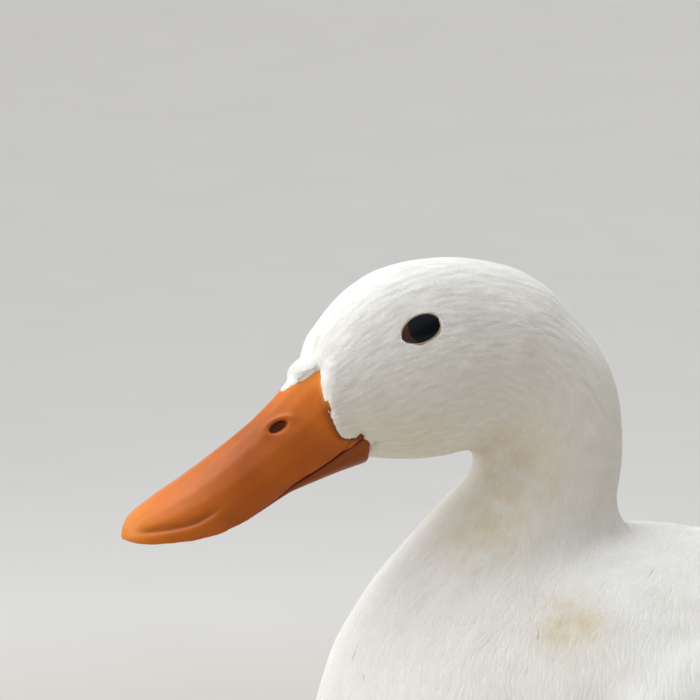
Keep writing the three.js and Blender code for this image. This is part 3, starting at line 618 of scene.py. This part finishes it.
def feathered(name, material, lines, ups, widths, heights, form, chart, rolls=0.05, end_turn=0.2):
    """One mesh of blades, each along a line of stations over the skin. form holds the stations, the share of
    the full width at each but the first and last, which are points, the share of the full height at each, and
    how high the crown arches over the edges as a share of the width. heights are those of each root and tip.
    rolls is how much they lean to either side, and end_turn how far the shading of a tip turns to its end."""
    stations, outline, rise, arch = form
    count, steps = lines.shape[:2]
    ways = unit(np.gradient(lines, axis=1))
    across = unit(np.cross(ups, ways))
    # Those of one lock lean and shade together.
    streaks = np.array([noise.noise((u * 97, v * 180, 0)) for u, v in chart.tolist()])
    tilt = rng.normal(0, rolls, (count, 1, 1)) + 0.22 * streaks[:, None, None]
    across, ups = unit(across + ups * tilt), unit(ups - across * tilt)
    low, high = (np.broadcast_to(height, count)[:, None, None] for height in heights)
    middle = lines + ups * (low + (high - low) * np.array(rise)[None, :, None])
    half = (widths[:, None] * np.array([0, *outline, 0])[None] / 2)[:, :, None]
    crown = middle + ups * half * arch
    left, right = (middle - ups * half * arch + across * half * sign for sign in (-1, 1))
    body = np.stack([left, crown, right], axis=2)[:, 1:-1].reshape(count, -1, 3)
    points = np.concatenate([lines[:, :1], body, middle[:, -1:]], axis=1)
    edge = 0.4  # how far the shading turns away towards the edges
    shade = np.stack([ups - across * edge, ups, ups + across * edge], axis=2)[:, 1:-1].reshape(count, -1, 3)
    shade = np.concatenate([ups[:, :1], shade, ups[:, -1:]], axis=1)
    # The shading turns to the end of the blade at its tip and, half as far, at the ring before it.
    turned = np.zeros_like(shade)
    turned[:, -1], turned[:, -4:-1] = end_turn * ways[:, -1], (end_turn - 0.2) * 0.5 * ways[:, -1:]

    rings = steps - 2
    last = 3 * rings + 1
    faces, below = [[0, 1, 2], [0, 2, 3], [0, 3, 1]], [2]
    for first in range(1, 3 * rings - 2, 3):
        for a, b in ((0, 1), (1, 2), (2, 0)):
            faces += [[first + b + 3, first + b, first + a], [first + a + 3, first + b + 3, first + a]]
        below += [len(faces) - 2, len(faces) - 1]
    faces += [[last, last - 2, last - 3], [last, last - 1, last - 2], [last, last - 3, last - 1]]
    below += [len(faces) - 1]
    faces = np.array(faces)
    size = last + 1
    corners = (np.arange(count)[:, None, None] * size + faces[None]).reshape(-1, 3)
    facing = np.ones(len(faces))
    facing[below] = -1
    shade = unit(shade[:, faces] * facing[None, :, None, None] + turned[:, faces])

    mesh = bpy.data.meshes.new(name)
    mesh.vertices.add(count * size)
    mesh.vertices.foreach_set("co", points.astype(np.float32).ravel())
    mesh.loops.add(corners.size)
    mesh.loops.foreach_set("vertex_index", corners.astype(np.int32).ravel())
    mesh.polygons.add(len(corners))
    mesh.polygons.foreach_set("loop_start", np.arange(0, corners.size, 3, dtype=np.int32))
    mesh.update(calc_edges=True)

    sideways = np.concatenate([[0], np.tile([-1, 0, 1], rings), [0]])
    ahead = np.concatenate([[0], np.repeat(np.arange(1, rings + 1), 3), [rings + 1]]) / (rings + 1)
    patch = 0.003 * np.stack([sideways / 2, ahead], axis=1)
    bake = (chart[:, None] + patch[None]).reshape(-1, 2)[corners.ravel()]
    reach = np.linalg.norm(np.diff(lines, axis=1), axis=2).sum(axis=1)
    vane = np.stack([widths[:, None] / 2 * sideways[None], reach[:, None] * ahead[None]], axis=2) / MM
    for title, values in (("OFBake", bake), ("vane", vane.reshape(-1, 2)[corners.ravel()])):
        mesh.uv_layers.new(name=title).data.foreach_set("uv", values.astype(np.float32).ravel())
    marked(mesh, "tone", np.repeat(0.35 + 0.3 * rng.random(count) + 0.7 * streaks, size))
    mesh.normals_split_custom_set(shade.reshape(-1, 3).astype(np.float32))

    mesh.materials.append(material)
    piece = bpy.data.objects.new(name, mesh)
    bpy.context.scene.collection.objects.link(piece)
    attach(piece, "root")
    return piece


# The opening of the eye: an almond, its front end lower and drawn to a point. It lies in a plane that faces
# a little forward and up; along is towards its rear end, out is away from the head, and up, in millimetres.
EYE_TILT = math.radians(22)
EYE_OUT = unit(np.array([-0.21, -1, 0.3]))
EYE_BACK = unit(np.array([1, 0, 0]) - EYE_OUT * EYE_OUT[0])
EYE_ALONG = EYE_BACK * math.cos(EYE_TILT) + np.cross(EYE_OUT, EYE_BACK) * math.sin(EYE_TILT)
EYE_UP = np.cross(EYE_OUT, EYE_ALONG)
EYE_MIDDLE = np.array([near_eye.x + 0.5 * MM, eye_low.y + 1.2 * MM, near_eye.z - 0.5 * MM])
EYE_HALF = (6.3, 4.05)
EYE_POINT = 0.6  # how much longer it is at the front


def opening(angle):
    """How far the edge of the opening is from its middle, in a direction."""
    almond = 1 / np.hypot(np.cos(angle) / EYE_HALF[0], np.sin(angle) / EYE_HALF[1])
    return almond + EYE_POINT * np.exp(-(((angle % (2 * math.pi) - math.pi) / 0.22) ** 2))


def from_eye(points):
    """How many millimetres outside the opening of the eye each point lies, and the way straight out."""
    left = np.column_stack([points[:, 0], -np.abs(points[:, 1]), points[:, 2]])
    off = (left - EYE_MIDDLE) / MM
    along, up = off @ EYE_ALONG, off @ EYE_UP
    away = unit(off - EYE_OUT * (off @ EYE_OUT)[:, None])
    away[:, 1] *= -np.sign(points[:, 1])
    return np.hypot(along, up) - opening(np.arctan2(up, along)), away


corners, share = strewn(np.sqrt(long * wide * 0.5 / np.interp(run, AT, COVERS)))


def at_roots(values):
    """Values at the points of the skin, read at the roots."""
    return (values[corners] * (share if values.ndim == 1 else share[:, :, None])).sum(axis=1)


roots, root_ups, root_run = at_roots(skin_points), unit(at_roots(skin_normals)), at_roots(run)
root_way, root_leg = flat_way(at_roots(way), root_ups), at_roots(leg)
root_depth = at_roots(np.interp(run, AT, COAT_DEPTH))
lengths = at_roots(long) * rng.uniform(0.85, 1.15, len(roots))
widths = at_roots(wide) * rng.uniform(0.95, 1.3, len(roots))

# They part round the eyes, and wander in loose locks, most down the neck. None grow on the bill or in the
# eyes.
gap, away = from_eye(roots)
gap[root_run > AT[3]] = 99  # far from any eye
bare = ((past_feathers(roots) > 0.05) & (root_run < AT[3])) | (gap < 0.25)
facing = np.clip(-(root_way * away).sum(axis=1), 0, 1) * ridge(np.maximum(gap, 0), 5.5)
root_way = flat_way(root_way + away * facing[:, None] * 1.1, root_ups)
lock = np.array([noise.noise((x * 110, y * 110, z * 70)) for x, y, z in roots.tolist()])
yaw = rng.normal(0, 0.11, len(roots)) + lock * (0.25 + 0.4 * ridge(root_run - 0.14, 0.06))
root_way = unit(root_way + np.cross(root_ups, root_way) * yaw[:, None])
beyond, _ = from_eye(roots + root_way * lengths[:, None])
into = (beyond < 0.3) & (gap < 4)
lengths[into] = np.maximum(gap[into] - 0.3, 0.35) * MM
# Over the root of the tail they are shorter.
lengths *= 1 - 0.6 * ramp(roots[:, 0], 145 * MM, 178 * MM) * ramp(roots[:, 2], 188 * MM, 200 * MM)

# The chart of the plumage: along the body and round it, with a strip of its own for each thigh.
angle = np.arctan2(roots[:, 1], roots[:, 2] - np.interp(root_run, spine_run, spine[:, 2]))
chart = np.column_stack([0.02 + 0.96 * root_run / spine_run[-1], 0.42 + 0.38 * angle / math.pi])
THIGH_MIDDLE = 16  # mm, its x
turn_of_leg = np.arctan2(np.abs(roots[:, 1]) - HOCK[1] * MM, roots[:, 0] - THIGH_MIDDLE * MM)
leg_chart = np.column_stack([
    0.03 + 3.5 * (0.14 - roots[:, 2]) + 0.5 * (roots[:, 1] > 0),
    0.91 + 0.07 * turn_of_leg / math.pi,
])
chart[root_leg > 0.5] = leg_chart[root_leg > 0.5]

# The folded wings carry larger feathers of their own, within this edge; x and z in millimetres.
WING_EDGE = [
    [-46, 224], [-28, 230], [22, 229], [72, 222], [104, 215], [128, 209], [134, 204],
    [128, 198], [104, 186], [66, 173], [20, 163], [-28, 160], [-48, 166],
]


def inside(points, edge):
    """Whether points lie inside an outline seen from the side; both in x and z."""
    within = np.zeros(len(points), bool)
    for (x0, z0), (x1, z1) in zip(edge, edge[1:] + edge[:1]):
        crosses = (z0 > points[:, 1]) != (z1 > points[:, 1])
        within ^= crosses & (points[:, 0] < x0 + (points[:, 1] - z0) * (x1 - x0) / ((z1 - z0) or 1))
    return within


on_wing = inside(roots[:, ::2] / MM, WING_EDGE) & (np.abs(roots[:, 1]) > 24 * MM) & (root_leg < 0.5)
# So does the tail: none grow at its root, nor beside it.
bare |= on_wing | ((roots[:, 0] > 183 * MM) & (roots[:, 2] > 199 * MM))
bare |= (roots[:, 0] > 170 * MM) & (roots[:, 2] > 197 * MM) & (np.abs(roots[:, 1]) > 13 * MM)

hairlike = plumage("silky face feather", False)
vaned = plumage("white feather vane", True)
# The forms of the blades, from the finest to the broadest.
HAIR = ([0, 0.45, 1], [1], [0, 0.9, 0.45], 0.4)
PLUME = ([0, 0.3, 0.7, 1], [0.85, 1], [0, 0.75, 1, 0.3], 0.38)
SOFT_VANE = ([0, 0.25, 0.6, 0.88, 1], [0.75, 1, 0.7], [0, 0.6, 1, 0.8, 0.2], 0.26)
VANE = ([0, 0.2, 0.5, 0.78, 0.94, 1], [0.65, 1, 0.95, 0.6], [0, 0.5, 0.9, 1, 0.7, 0.3], 0.17)
on_leg = root_leg > 0.5
zones = [
    ("face", root_run < AT[2], HAIR, hairlike),
    ("crown", (root_run >= AT[2]) & (root_run < AT[3]), HAIR, hairlike),
    ("neck", (root_run >= AT[3]) & (root_run < AT[4]), PLUME, hairlike),
    ("throat", (root_run >= AT[4]) & (root_run < AT[5]), PLUME, hairlike),
    ("breast", (root_run >= AT[5]) & (root_run < AT[7]) & ~on_leg, SOFT_VANE, vaned),
    ("body", (root_run >= AT[7]) & ~on_leg, VANE, vaned),
    ("thigh", on_leg, SOFT_VANE, vaned),
]
for zone, where, form, material in zones:
    for half_name, half in (("left", roots[:, 1] < 0), ("right", roots[:, 1] >= 0)):
        chosen = np.nonzero(where & half & ~bare)[0]
        lines, ups = laid(roots[chosen], root_ups[chosen], root_way[chosen], lengths[chosen], form[0])
        tips = root_depth[chosen] * SETTLE
        name, heights = f"{zone}_feathers_{half_name}", (-0.2 * tips, tips)
        feathered(name, material, lines, ups, widths[chosen], heights, form, chart[chosen])

# ---------------------------------------------------------------- the folded wings
# Rows of broad stiff vanes, each row over the roots of the one behind: coverts over coverts, and long
# secondaries that end in the point over the rump, where the tips of the primaries come out from under them.
WING_VANE = (
    [0, 0.1, 0.3, 0.6, 0.85, 0.96, 1],
    [0.5, 0.85, 1, 1, 0.7],
    [0, 0.15, 0.4, 0.75, 1, 0.98, 0.9],
    0.07,
)
STIFF = {"rolls": 0.02, "end_turn": 1.0}
# Each row: where its line of roots begins at the top and ends, how many vanes, how long the first and last
# are, how wide they are, and the heights of root and tip; millimetres.
WING_ROWS = [
    ((48, 227), (26, 157), 20, (98, 80), 15, (0.0, 0.7)),
    ((8, 231), (-6, 154), 19, (52, 42), 12.5, (0.0, 0.8)),
    ((-19, 232), (-30, 153), 22, (36, 30), 9.5, (0.0, 0.8)),
    ((-37, 231), (-47, 155), 24, (27, 24), 7.5, (0.0, 0.8)),
    ((-51, 229), (-60, 159), 26, (21, 18), 6, (0.0, 0.8)),
    ((-62, 225), (-69, 166), 26, (17, 15), 5, (0.0, 0.7)),
]
WING_POINT = np.array([200, 0, 207]) * MM  # they all run towards it
TIP_VANES = 7
for side_name, side_sign in (("left", -1), ("right", 1)):
    sets = []
    for (x0, z0), (x1, z1), count, (long0, long1), width, heights in WING_ROWS:
        share = (np.arange(count) + 0.5 + rng.uniform(-0.15, 0.15, count)) / count
        x = (x0 + (x1 - x0) * share + rng.uniform(-2.5, 2.5, count)) * MM
        z = (z0 + (z1 - z0) * share) * MM
        to_body = Vector((0, -side_sign, 0))
        hits = [skin_tree.ray_cast(Vector((a, side_sign * 0.2, b)), to_body) for a, b in zip(x, z)]
        starts, normals = (np.array([hit[i] for hit in hits]) for i in (0, 1))
        aim = flat_way(WING_POINT * [1, side_sign, 1] + [0, side_sign * 0.03, 0] - starts, normals)
        reach = (long0 + (long1 - long0) * share) * rng.uniform(0.92, 1.08, count) * MM
        lines, ups = laid(starts, normals, aim, reach, WING_VANE[0])
        # The first and last lie under their neighbours.
        tuck = 1 - ramp(np.minimum(share, 1 - share), 0, 0.12)
        low, high = (h * (1 - tuck) - 0.7 * tuck for h in heights)
        sets.append((lines, ups, np.full(count, width * MM), low * MM, high * MM))
    lines, ups, breadth, low, high = (np.concatenate(part) for part in zip(*sets))
    starts = lines[:, 0]
    along = 0.02 + 0.96 * along_body(starts)[0] / spine_run[-1]
    place = np.column_stack([along, 0.42 + side_sign * (0.25 - starts[:, 2]) * 1.1])
    feathered(f"wing_vanes_{side_name}", vaned, lines, ups, breadth, (low, high), WING_VANE, place, **STIFF)

    # The primaries: a narrow sheaf of long vanes, the outermost lowest.
    fan = np.arange(TIP_VANES) / (TIP_VANES - 1)
    starts = np.column_stack([104 + 6 * fan, side_sign * (49 - 4 * fan), 202 + 3 * fan]) * MM
    ends = np.column_stack([162 + 34 * fan, side_sign * (36 - 20 * fan), 204.5 + 12.5 * fan]) * MM
    lines = starts[:, None] + (ends - starts)[:, None] * np.array(WING_VANE[0])[None, :, None]
    ups = np.broadcast_to(unit(np.array([-0.15, side_sign * 0.42, 0.9])), lines.shape)
    place = np.column_stack([np.linspace(0.72, 0.95, TIP_VANES), np.full(TIP_VANES, 0.42 + side_sign * 0.2)])
    breadth, heights = np.full(TIP_VANES, 11 * MM), (0, (1.5 * fan) * MM)
    name = f"primaries_{side_name}"
    sheaf = feathered(name, vaned, lines, ups, breadth, heights, WING_VANE, place, **STIFF)
    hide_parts(f"wing_tip_{side_name}")

# ---------------------------------------------------------------- the tail
# Eighteen stiff vanes in a flat fan, the middle pair uppermost, between two rows of coverts over their
# roots and two rows under them. All are vanes like those of the wings.
FAN_HEIGHT = 204  # mm; rows whose roots are no higher lie under the tail
# Each row: how many, half the width of the row of roots and of tips, the x of roots and tips, the z of the
# outer roots and tips, how much higher the middle is, and the width of a vane; millimetres.
TAIL_ROWS = [
    (18, 14, 35, 166, 225.5, 207, 208.5, 5.5, 12.5),
    (14, 16, 30, 156, 205, 208.6, 208.3, 5.5, 12),
    (13, 18, 28, 146, 190, 210.5, 209, 5.0, 11),
    (14, 14, 28, 172, 206, 204, 207, 4.6, 12),
    (12, 16, 24, 172, 194, 201, 205.2, 3.4, 11),
]
rows = []
for count, root_half, tip_half, root_x, tip_x, root_z, tip_z, rise, width in TAIL_ROWS:
    fan = np.linspace(-1, 1, count)
    order = 1 - np.abs(fan)
    starts = np.column_stack([np.full(count, root_x), root_half * fan, root_z + rise * 0.6 * order]) * MM
    ends = np.column_stack([tip_x - 20 * np.abs(fan) ** 1.8, tip_half * fan, tip_z + rise * order]) * MM
    along = np.array(WING_VANE[0])[None, :, None]
    sag = np.array([0, 0, -1 * MM]) * (along * (1 - along)) * 4
    lines = starts[:, None] + (ends - starts)[:, None] * along + sag
    upward = 1 if root_z > FAN_HEIGHT else -1  # those under the tail show their undersides
    ups = unit(np.column_stack([np.full(count, -0.03), 0.12 * fan, np.full(count, upward)]))
    place = np.column_stack([np.full(count, 0.93 - 0.02 * len(rows)), 0.42 + 0.2 * fan])
    ups = np.repeat(ups[:, None], len(WING_VANE[0]), axis=1)
    rows.append((lines, ups, np.full(count, width * MM), order * 0.6 * MM, place))
lines, ups, breadth, lift, place = (np.concatenate(part) for part in zip(*rows))
tail = feathered("tail_vanes", vaned, lines, ups, breadth, (0, lift), WING_VANE, place, **STIFF)
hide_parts("tail")

# ---------------------------------------------------------------- the eyes
# A wet, almost black ball, its iris and cornea made as one smooth surface, in an opening drawn to a point
# towards the bill. A thin bare straw rim runs round it, and a wedge of reddish skin fills the point.
BALL_HALF = (7.6, 3.6, 6.6)  # mm along the opening, out from it, and up
BALL_PROUD = 0.8  # mm out from the plane of the opening
LID_STEPS = 96
wet_eye, tree, shader = finish_of("wet eyeball", Roughness=0.12, IOR=1.38)
shader.inputs["Base Color"].default_value = linear("#0a121a")
shader.inputs["Specular IOR Level"].default_value = 0.25
lid_skin, tree, shader = finish_of("bare eyelid rim", Roughness=0.5, IOR=1.4)
place = add_node(tree, "TexCoord").outputs["Object"]
wrinkle = add_node(tree, "TexNoise", {"Vector": place, "Scale": 1 / 0.0009, "Detail": 4.0}).outputs[0]
creased = add_node(tree, "Bump", {"Strength": 0.5, "Distance": 0.08 * MM, "Height": wrinkle})
tree.links.new(creased.outputs[0], shader.inputs["Normal"])
# The rim's own straw colour is mottled by the same wrinkles as its bump and is darker in their hollows:
# painted shade in the wrinkles.
tree.links.new(blend(tree, wrinkle, linear("#8d7a60"), linear("#cbbb98")), shader.inputs["Base Color"])
corner_skin, tree, shader = finish_of("reddish corner of the eye", Roughness=0.35, IOR=1.4)
shader.inputs["Base Color"].default_value = linear("#3c1b12")


def level(along, up):
    """How far out from the plane of the opening the eyeball's surface is."""
    inside_ball = 1 - (along / BALL_HALF[0]) ** 2 - (up / BALL_HALF[2]) ** 2
    return BALL_HALF[1] * math.sqrt(max(inside_ball, 0.0)) - BALL_HALF[1] + BALL_PROUD


# Rings of a lid: how far out from the opening's edge, and how far proud of the eyeball at that edge.
LID_RINGS = [(-0.3, -0.3), (-0.08, 0.0), (0.05, 0.1), (0.22, 0.12), (0.42, 0.0), (0.75, -0.3), (1.2, -0.9)]
IRIS = (1.4, 5.4)  # the dark of the eye: how far behind the middle it is centred, and its radius
for side_name, side_sign in (("left", -1), ("right", 1)):
    axes = Matrix(np.column_stack([EYE_ALONG, EYE_OUT, EYE_UP]).tolist()).to_4x4()
    lay = axes @ Matrix.Diagonal((MM, MM, MM, 1))
    lay = Matrix.Diagonal((1, -side_sign, 1, 1)) @ Matrix.Translation(EYE_MIDDLE) @ lay
    bm = bmesh.new()
    bmesh.ops.create_uvsphere(bm, u_segments=64, v_segments=40, radius=1)
    seat = Matrix.Translation((0, BALL_PROUD - BALL_HALF[1], 0)) @ Matrix.Diagonal((*BALL_HALF, 1))
    bmesh.ops.transform(bm, matrix=lay @ seat, verts=bm.verts)
    bmesh.ops.recalc_face_normals(bm, faces=bm.faces)
    ball = bpy.data.objects.new(f"eyeball_{side_name}", bpy.data.meshes.new(f"eyeball_{side_name}"))
    bm.to_mesh(ball.data)
    bm.free()
    bm = bmesh.new()
    rings = []
    for grow, proud in LID_RINGS:
        ring = bmesh.ops.create_circle(bm, segments=LID_STEPS, radius=1)["verts"]
        for i, vert in enumerate(ring):
            angle = math.pi + 2 * math.pi * i / LID_STEPS
            edge = float(opening(angle))
            rest = level(edge * math.cos(angle), edge * math.sin(angle))
            vert.co = ((edge + grow) * math.cos(angle), rest + proud, (edge + grow) * math.sin(angle))
        rings.append([bm.edges.get((ring[i - 1], ring[i])) for i in range(LID_STEPS)])
    for inner, outer_ring in zip(rings, rings[1:]):
        bmesh.ops.bridge_loops(bm, edges=inner + outer_ring)
    bmesh.ops.transform(bm, matrix=lay, verts=bm.verts)
    bmesh.ops.recalc_face_normals(bm, faces=bm.faces)
    lid = bpy.data.objects.new(f"eyelid_{side_name}", bpy.data.meshes.new(f"eyelid_{side_name}"))
    bm.to_mesh(lid.data)
    bm.free()
    bm = bmesh.new()
    bmesh.ops.create_grid(bm, x_segments=10, y_segments=10, size=1)
    for vert in bm.verts:
        share, up = vert.co.x / 2 + 0.5, vert.co.y * 3.2
        back = IRIS[0] - math.sqrt(IRIS[1] ** 2 - up * up)
        along = back * share - (EYE_HALF[0] + EYE_POINT) * (1 - share)
        vert.co = (along, level(along, up) + 0.12 - 0.14 * share ** 4, up)
    bmesh.ops.transform(bm, matrix=lay, verts=bm.verts)
    bmesh.ops.recalc_face_normals(bm, faces=bm.faces)
    wedge = bpy.data.objects.new(f"eye_corner_{side_name}", bpy.data.meshes.new(f"eye_corner_{side_name}"))
    bm.to_mesh(wedge.data)
    bm.free()
    for piece, material in ((ball, wet_eye), (lid, lid_skin), (wedge, corner_skin)):
        piece.data.materials.append(material)
        piece.data.shade_smooth()
        bpy.context.scene.collection.objects.link(piece)
        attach(piece, "root")
    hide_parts(f"eye_{side_name}")

# The skin sinks away under the eyeballs. It carries its feathers by now, and is thinned.
SKIN_TRIANGLES = 190000
gap, away = from_eye(skin_points)
dent = (1 - ramp(gap, -1.6, 0.1)) * (run < AT[3])
inward = -EYE_OUT * np.column_stack([np.ones(len(gap)), -np.sign(skin_points[:, 1]), np.ones(len(gap))])
move_points(skin.data, skin_points + inward * dent[:, None] * 4.5 * MM)
thinned = skin.modifiers.new("thinned", "DECIMATE")
thinned.ratio = SKIN_TRIANGLES / len(skin_faces)
settled(skin)

# ---------------------------------------------------------------- legs and feet
# Orange scaly skin over slim shanks, three long toes joined by webs, and a short hind toe. Each leg is cast
# in one from its shank and foot, so that no joint shows at the ankle. The claws are horn.
LEG_CELL = 0.8 * MM
leg_skin, tree, shader = finish_of(
    "scaly leg skin", Roughness=0.45, IOR=1.45, Subsurface_Weight=0.08, Subsurface_Scale=0.002
)
place = add_node(tree, "TexCoord").outputs["Object"]
cells = {"Vector": place, "Scale": 1 / 0.0022, "Randomness": 0.7}
scales = add_node(tree, "TexVoronoi", cells, feature="DISTANCE_TO_EDGE")
plate = add_node(tree, "MapRange", {"Value": scales.outputs["Distance"], "From Max": 0.12}).outputs[0]
raised = add_node(tree, "Bump", {"Strength": 0.6, "Distance": 0.25 * MM, "Height": plate})
tree.links.new(raised.outputs[0], shader.inputs["Normal"])
blotch = add_node(tree, "TexNoise", {"Vector": place, "Scale": 1 / 0.012, "Detail": 4.0}).outputs[0]
orange = blend(tree, blotch, linear("#c2610f"), linear("#e08a2e"))
tree.links.new(blend(tree, plate, linear("#9a4a10"), orange), shader.inputs["Base Color"])
claw_horn, tree, shader = finish_of("claw horn", Roughness=0.4, IOR=1.54)
place = add_node(tree, "TexCoord").outputs["Object"]
layers = add_node(tree, "TexNoise", {"Vector": place, "Scale": 1 / 0.002, "Detail": 3.0}).outputs[0]
tree.links.new(blend(tree, layers, linear("#8a6a4a"), linear("#c9a987")), shader.inputs["Base Color"])
for side_name in ("left", "right"):
    solids = [f"shank_{side_name}", f"foot_{side_name}"]
    leg = smoothed(settled(cast(f"leg_{side_name}", solids, LEG_CELL)), 8)
    leg.data.materials.append(leg_skin)
    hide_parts(f"shank_{side_name}", f"foot_{side_name}")
    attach(leg, "root")
    for toe in ("inner", "middle", "outer"):
        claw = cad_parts[f"{toe}_claw_{side_name}"]
        claw.data.materials.clear()
        claw.data.materials.append(claw_horn)
        claw.data.shade_smooth()

# ---------------------------------------------------------------- floor and light
# A wide pale floor, sandier close to the duck, under an overcast sky: bright and even from above, dimmer
# and warmer from low down. One large soft light above and a little behind the duck gives the tops their
# edge, and one ahead of it lifts the breast.
bpy.context.scene.view_settings.view_transform = "Standard"
floor_paint, tree, shader = finish_of("matt studio floor", Roughness=0.9)
place = add_node(tree, "TexCoord").outputs["Object"]
scuffs = add_node(tree, "TexNoise", {"Vector": place, "Scale": 6.0, "Detail": 4.0}).outputs[0]
far = add_node(tree, "VectorMath", {0: place}, operation="LENGTH").outputs["Value"]
fade = {"Value": far, "From Min": 0.3, "From Max": 1.6}
far = add_node(tree, "MapRange", fade, interpolation_type="SMOOTHSTEP").outputs[0]
pale = blend(tree, scuffs, linear("#efeeec"), linear("#f5f4f2"))
tree.links.new(blend(tree, far, linear("#b9ab8f"), pale), shader.inputs["Base Color"])
floor = bpy.data.objects.new("floor", bpy.data.meshes.new("floor"))
bpy.context.scene.collection.objects.link(floor)
bm = bmesh.new()
bmesh.ops.create_grid(bm, x_segments=60, y_segments=60, size=6)
for vert in bm.verts:
    vert.co.z = 0.05 * max(vert.co.length - 2.2, 0) ** 2
bm.to_mesh(floor.data)
bm.free()
floor.data.materials.append(floor_paint)
floor.data.shade_smooth()

world = bpy.data.worlds.new("studio")
bpy.context.scene.world = world
world.use_nodes = True
tree = world.node_tree
toward = add_node(tree, "TexCoord").outputs["Generated"]
BRIGHT_WAY = (-0.45, 0.35, 0.82)  # towards the brightest part of the sky
height = add_node(tree, "VectorMath", {0: toward, 1: BRIGHT_WAY}, operation="DOT_PRODUCT").outputs["Value"]
height = add_node(tree, "MapRange", {"Value": height, "From Min": -1.0}).outputs[0]
sky = add_node(tree, "ValToRGB", {0: height})
low, high = sky.color_ramp.elements
low.position, low.color = 0.25, linear("#6a604e")
high.position, high.color = 0.9, linear("#ffffff")
sky.color_ramp.elements.new(0.48).color = linear("#887d69")
sky.color_ramp.elements.new(0.66).color = linear("#f0f2f4")
tree.links.new(sky.outputs[0], tree.nodes["Background"].inputs["Color"])
tree.nodes["Background"].inputs["Strength"].default_value = 0.78


def softbox(name, place, aim, size, power, colour):
    lamp = bpy.data.lights.new(name, "AREA")
    lamp.size = size
    lamp.energy = power
    lamp.color = colour
    light = bpy.data.objects.new(name, lamp)
    bpy.context.scene.collection.objects.link(light)
    light.location = place
    light.rotation_euler = (Vector(place) - Vector(aim)).to_track_quat("Z", "Y").to_euler()


softbox("top_light", (-0.35, 0.15, 1.6), (-0.05, 0, 0.2), 1.1, 11, (0.95, 0.98, 1))
softbox("front_light", (-1.35, 0.5, 0.75), (-0.1, 0, 0.25), 0.8, 7, (0.97, 0.99, 1))
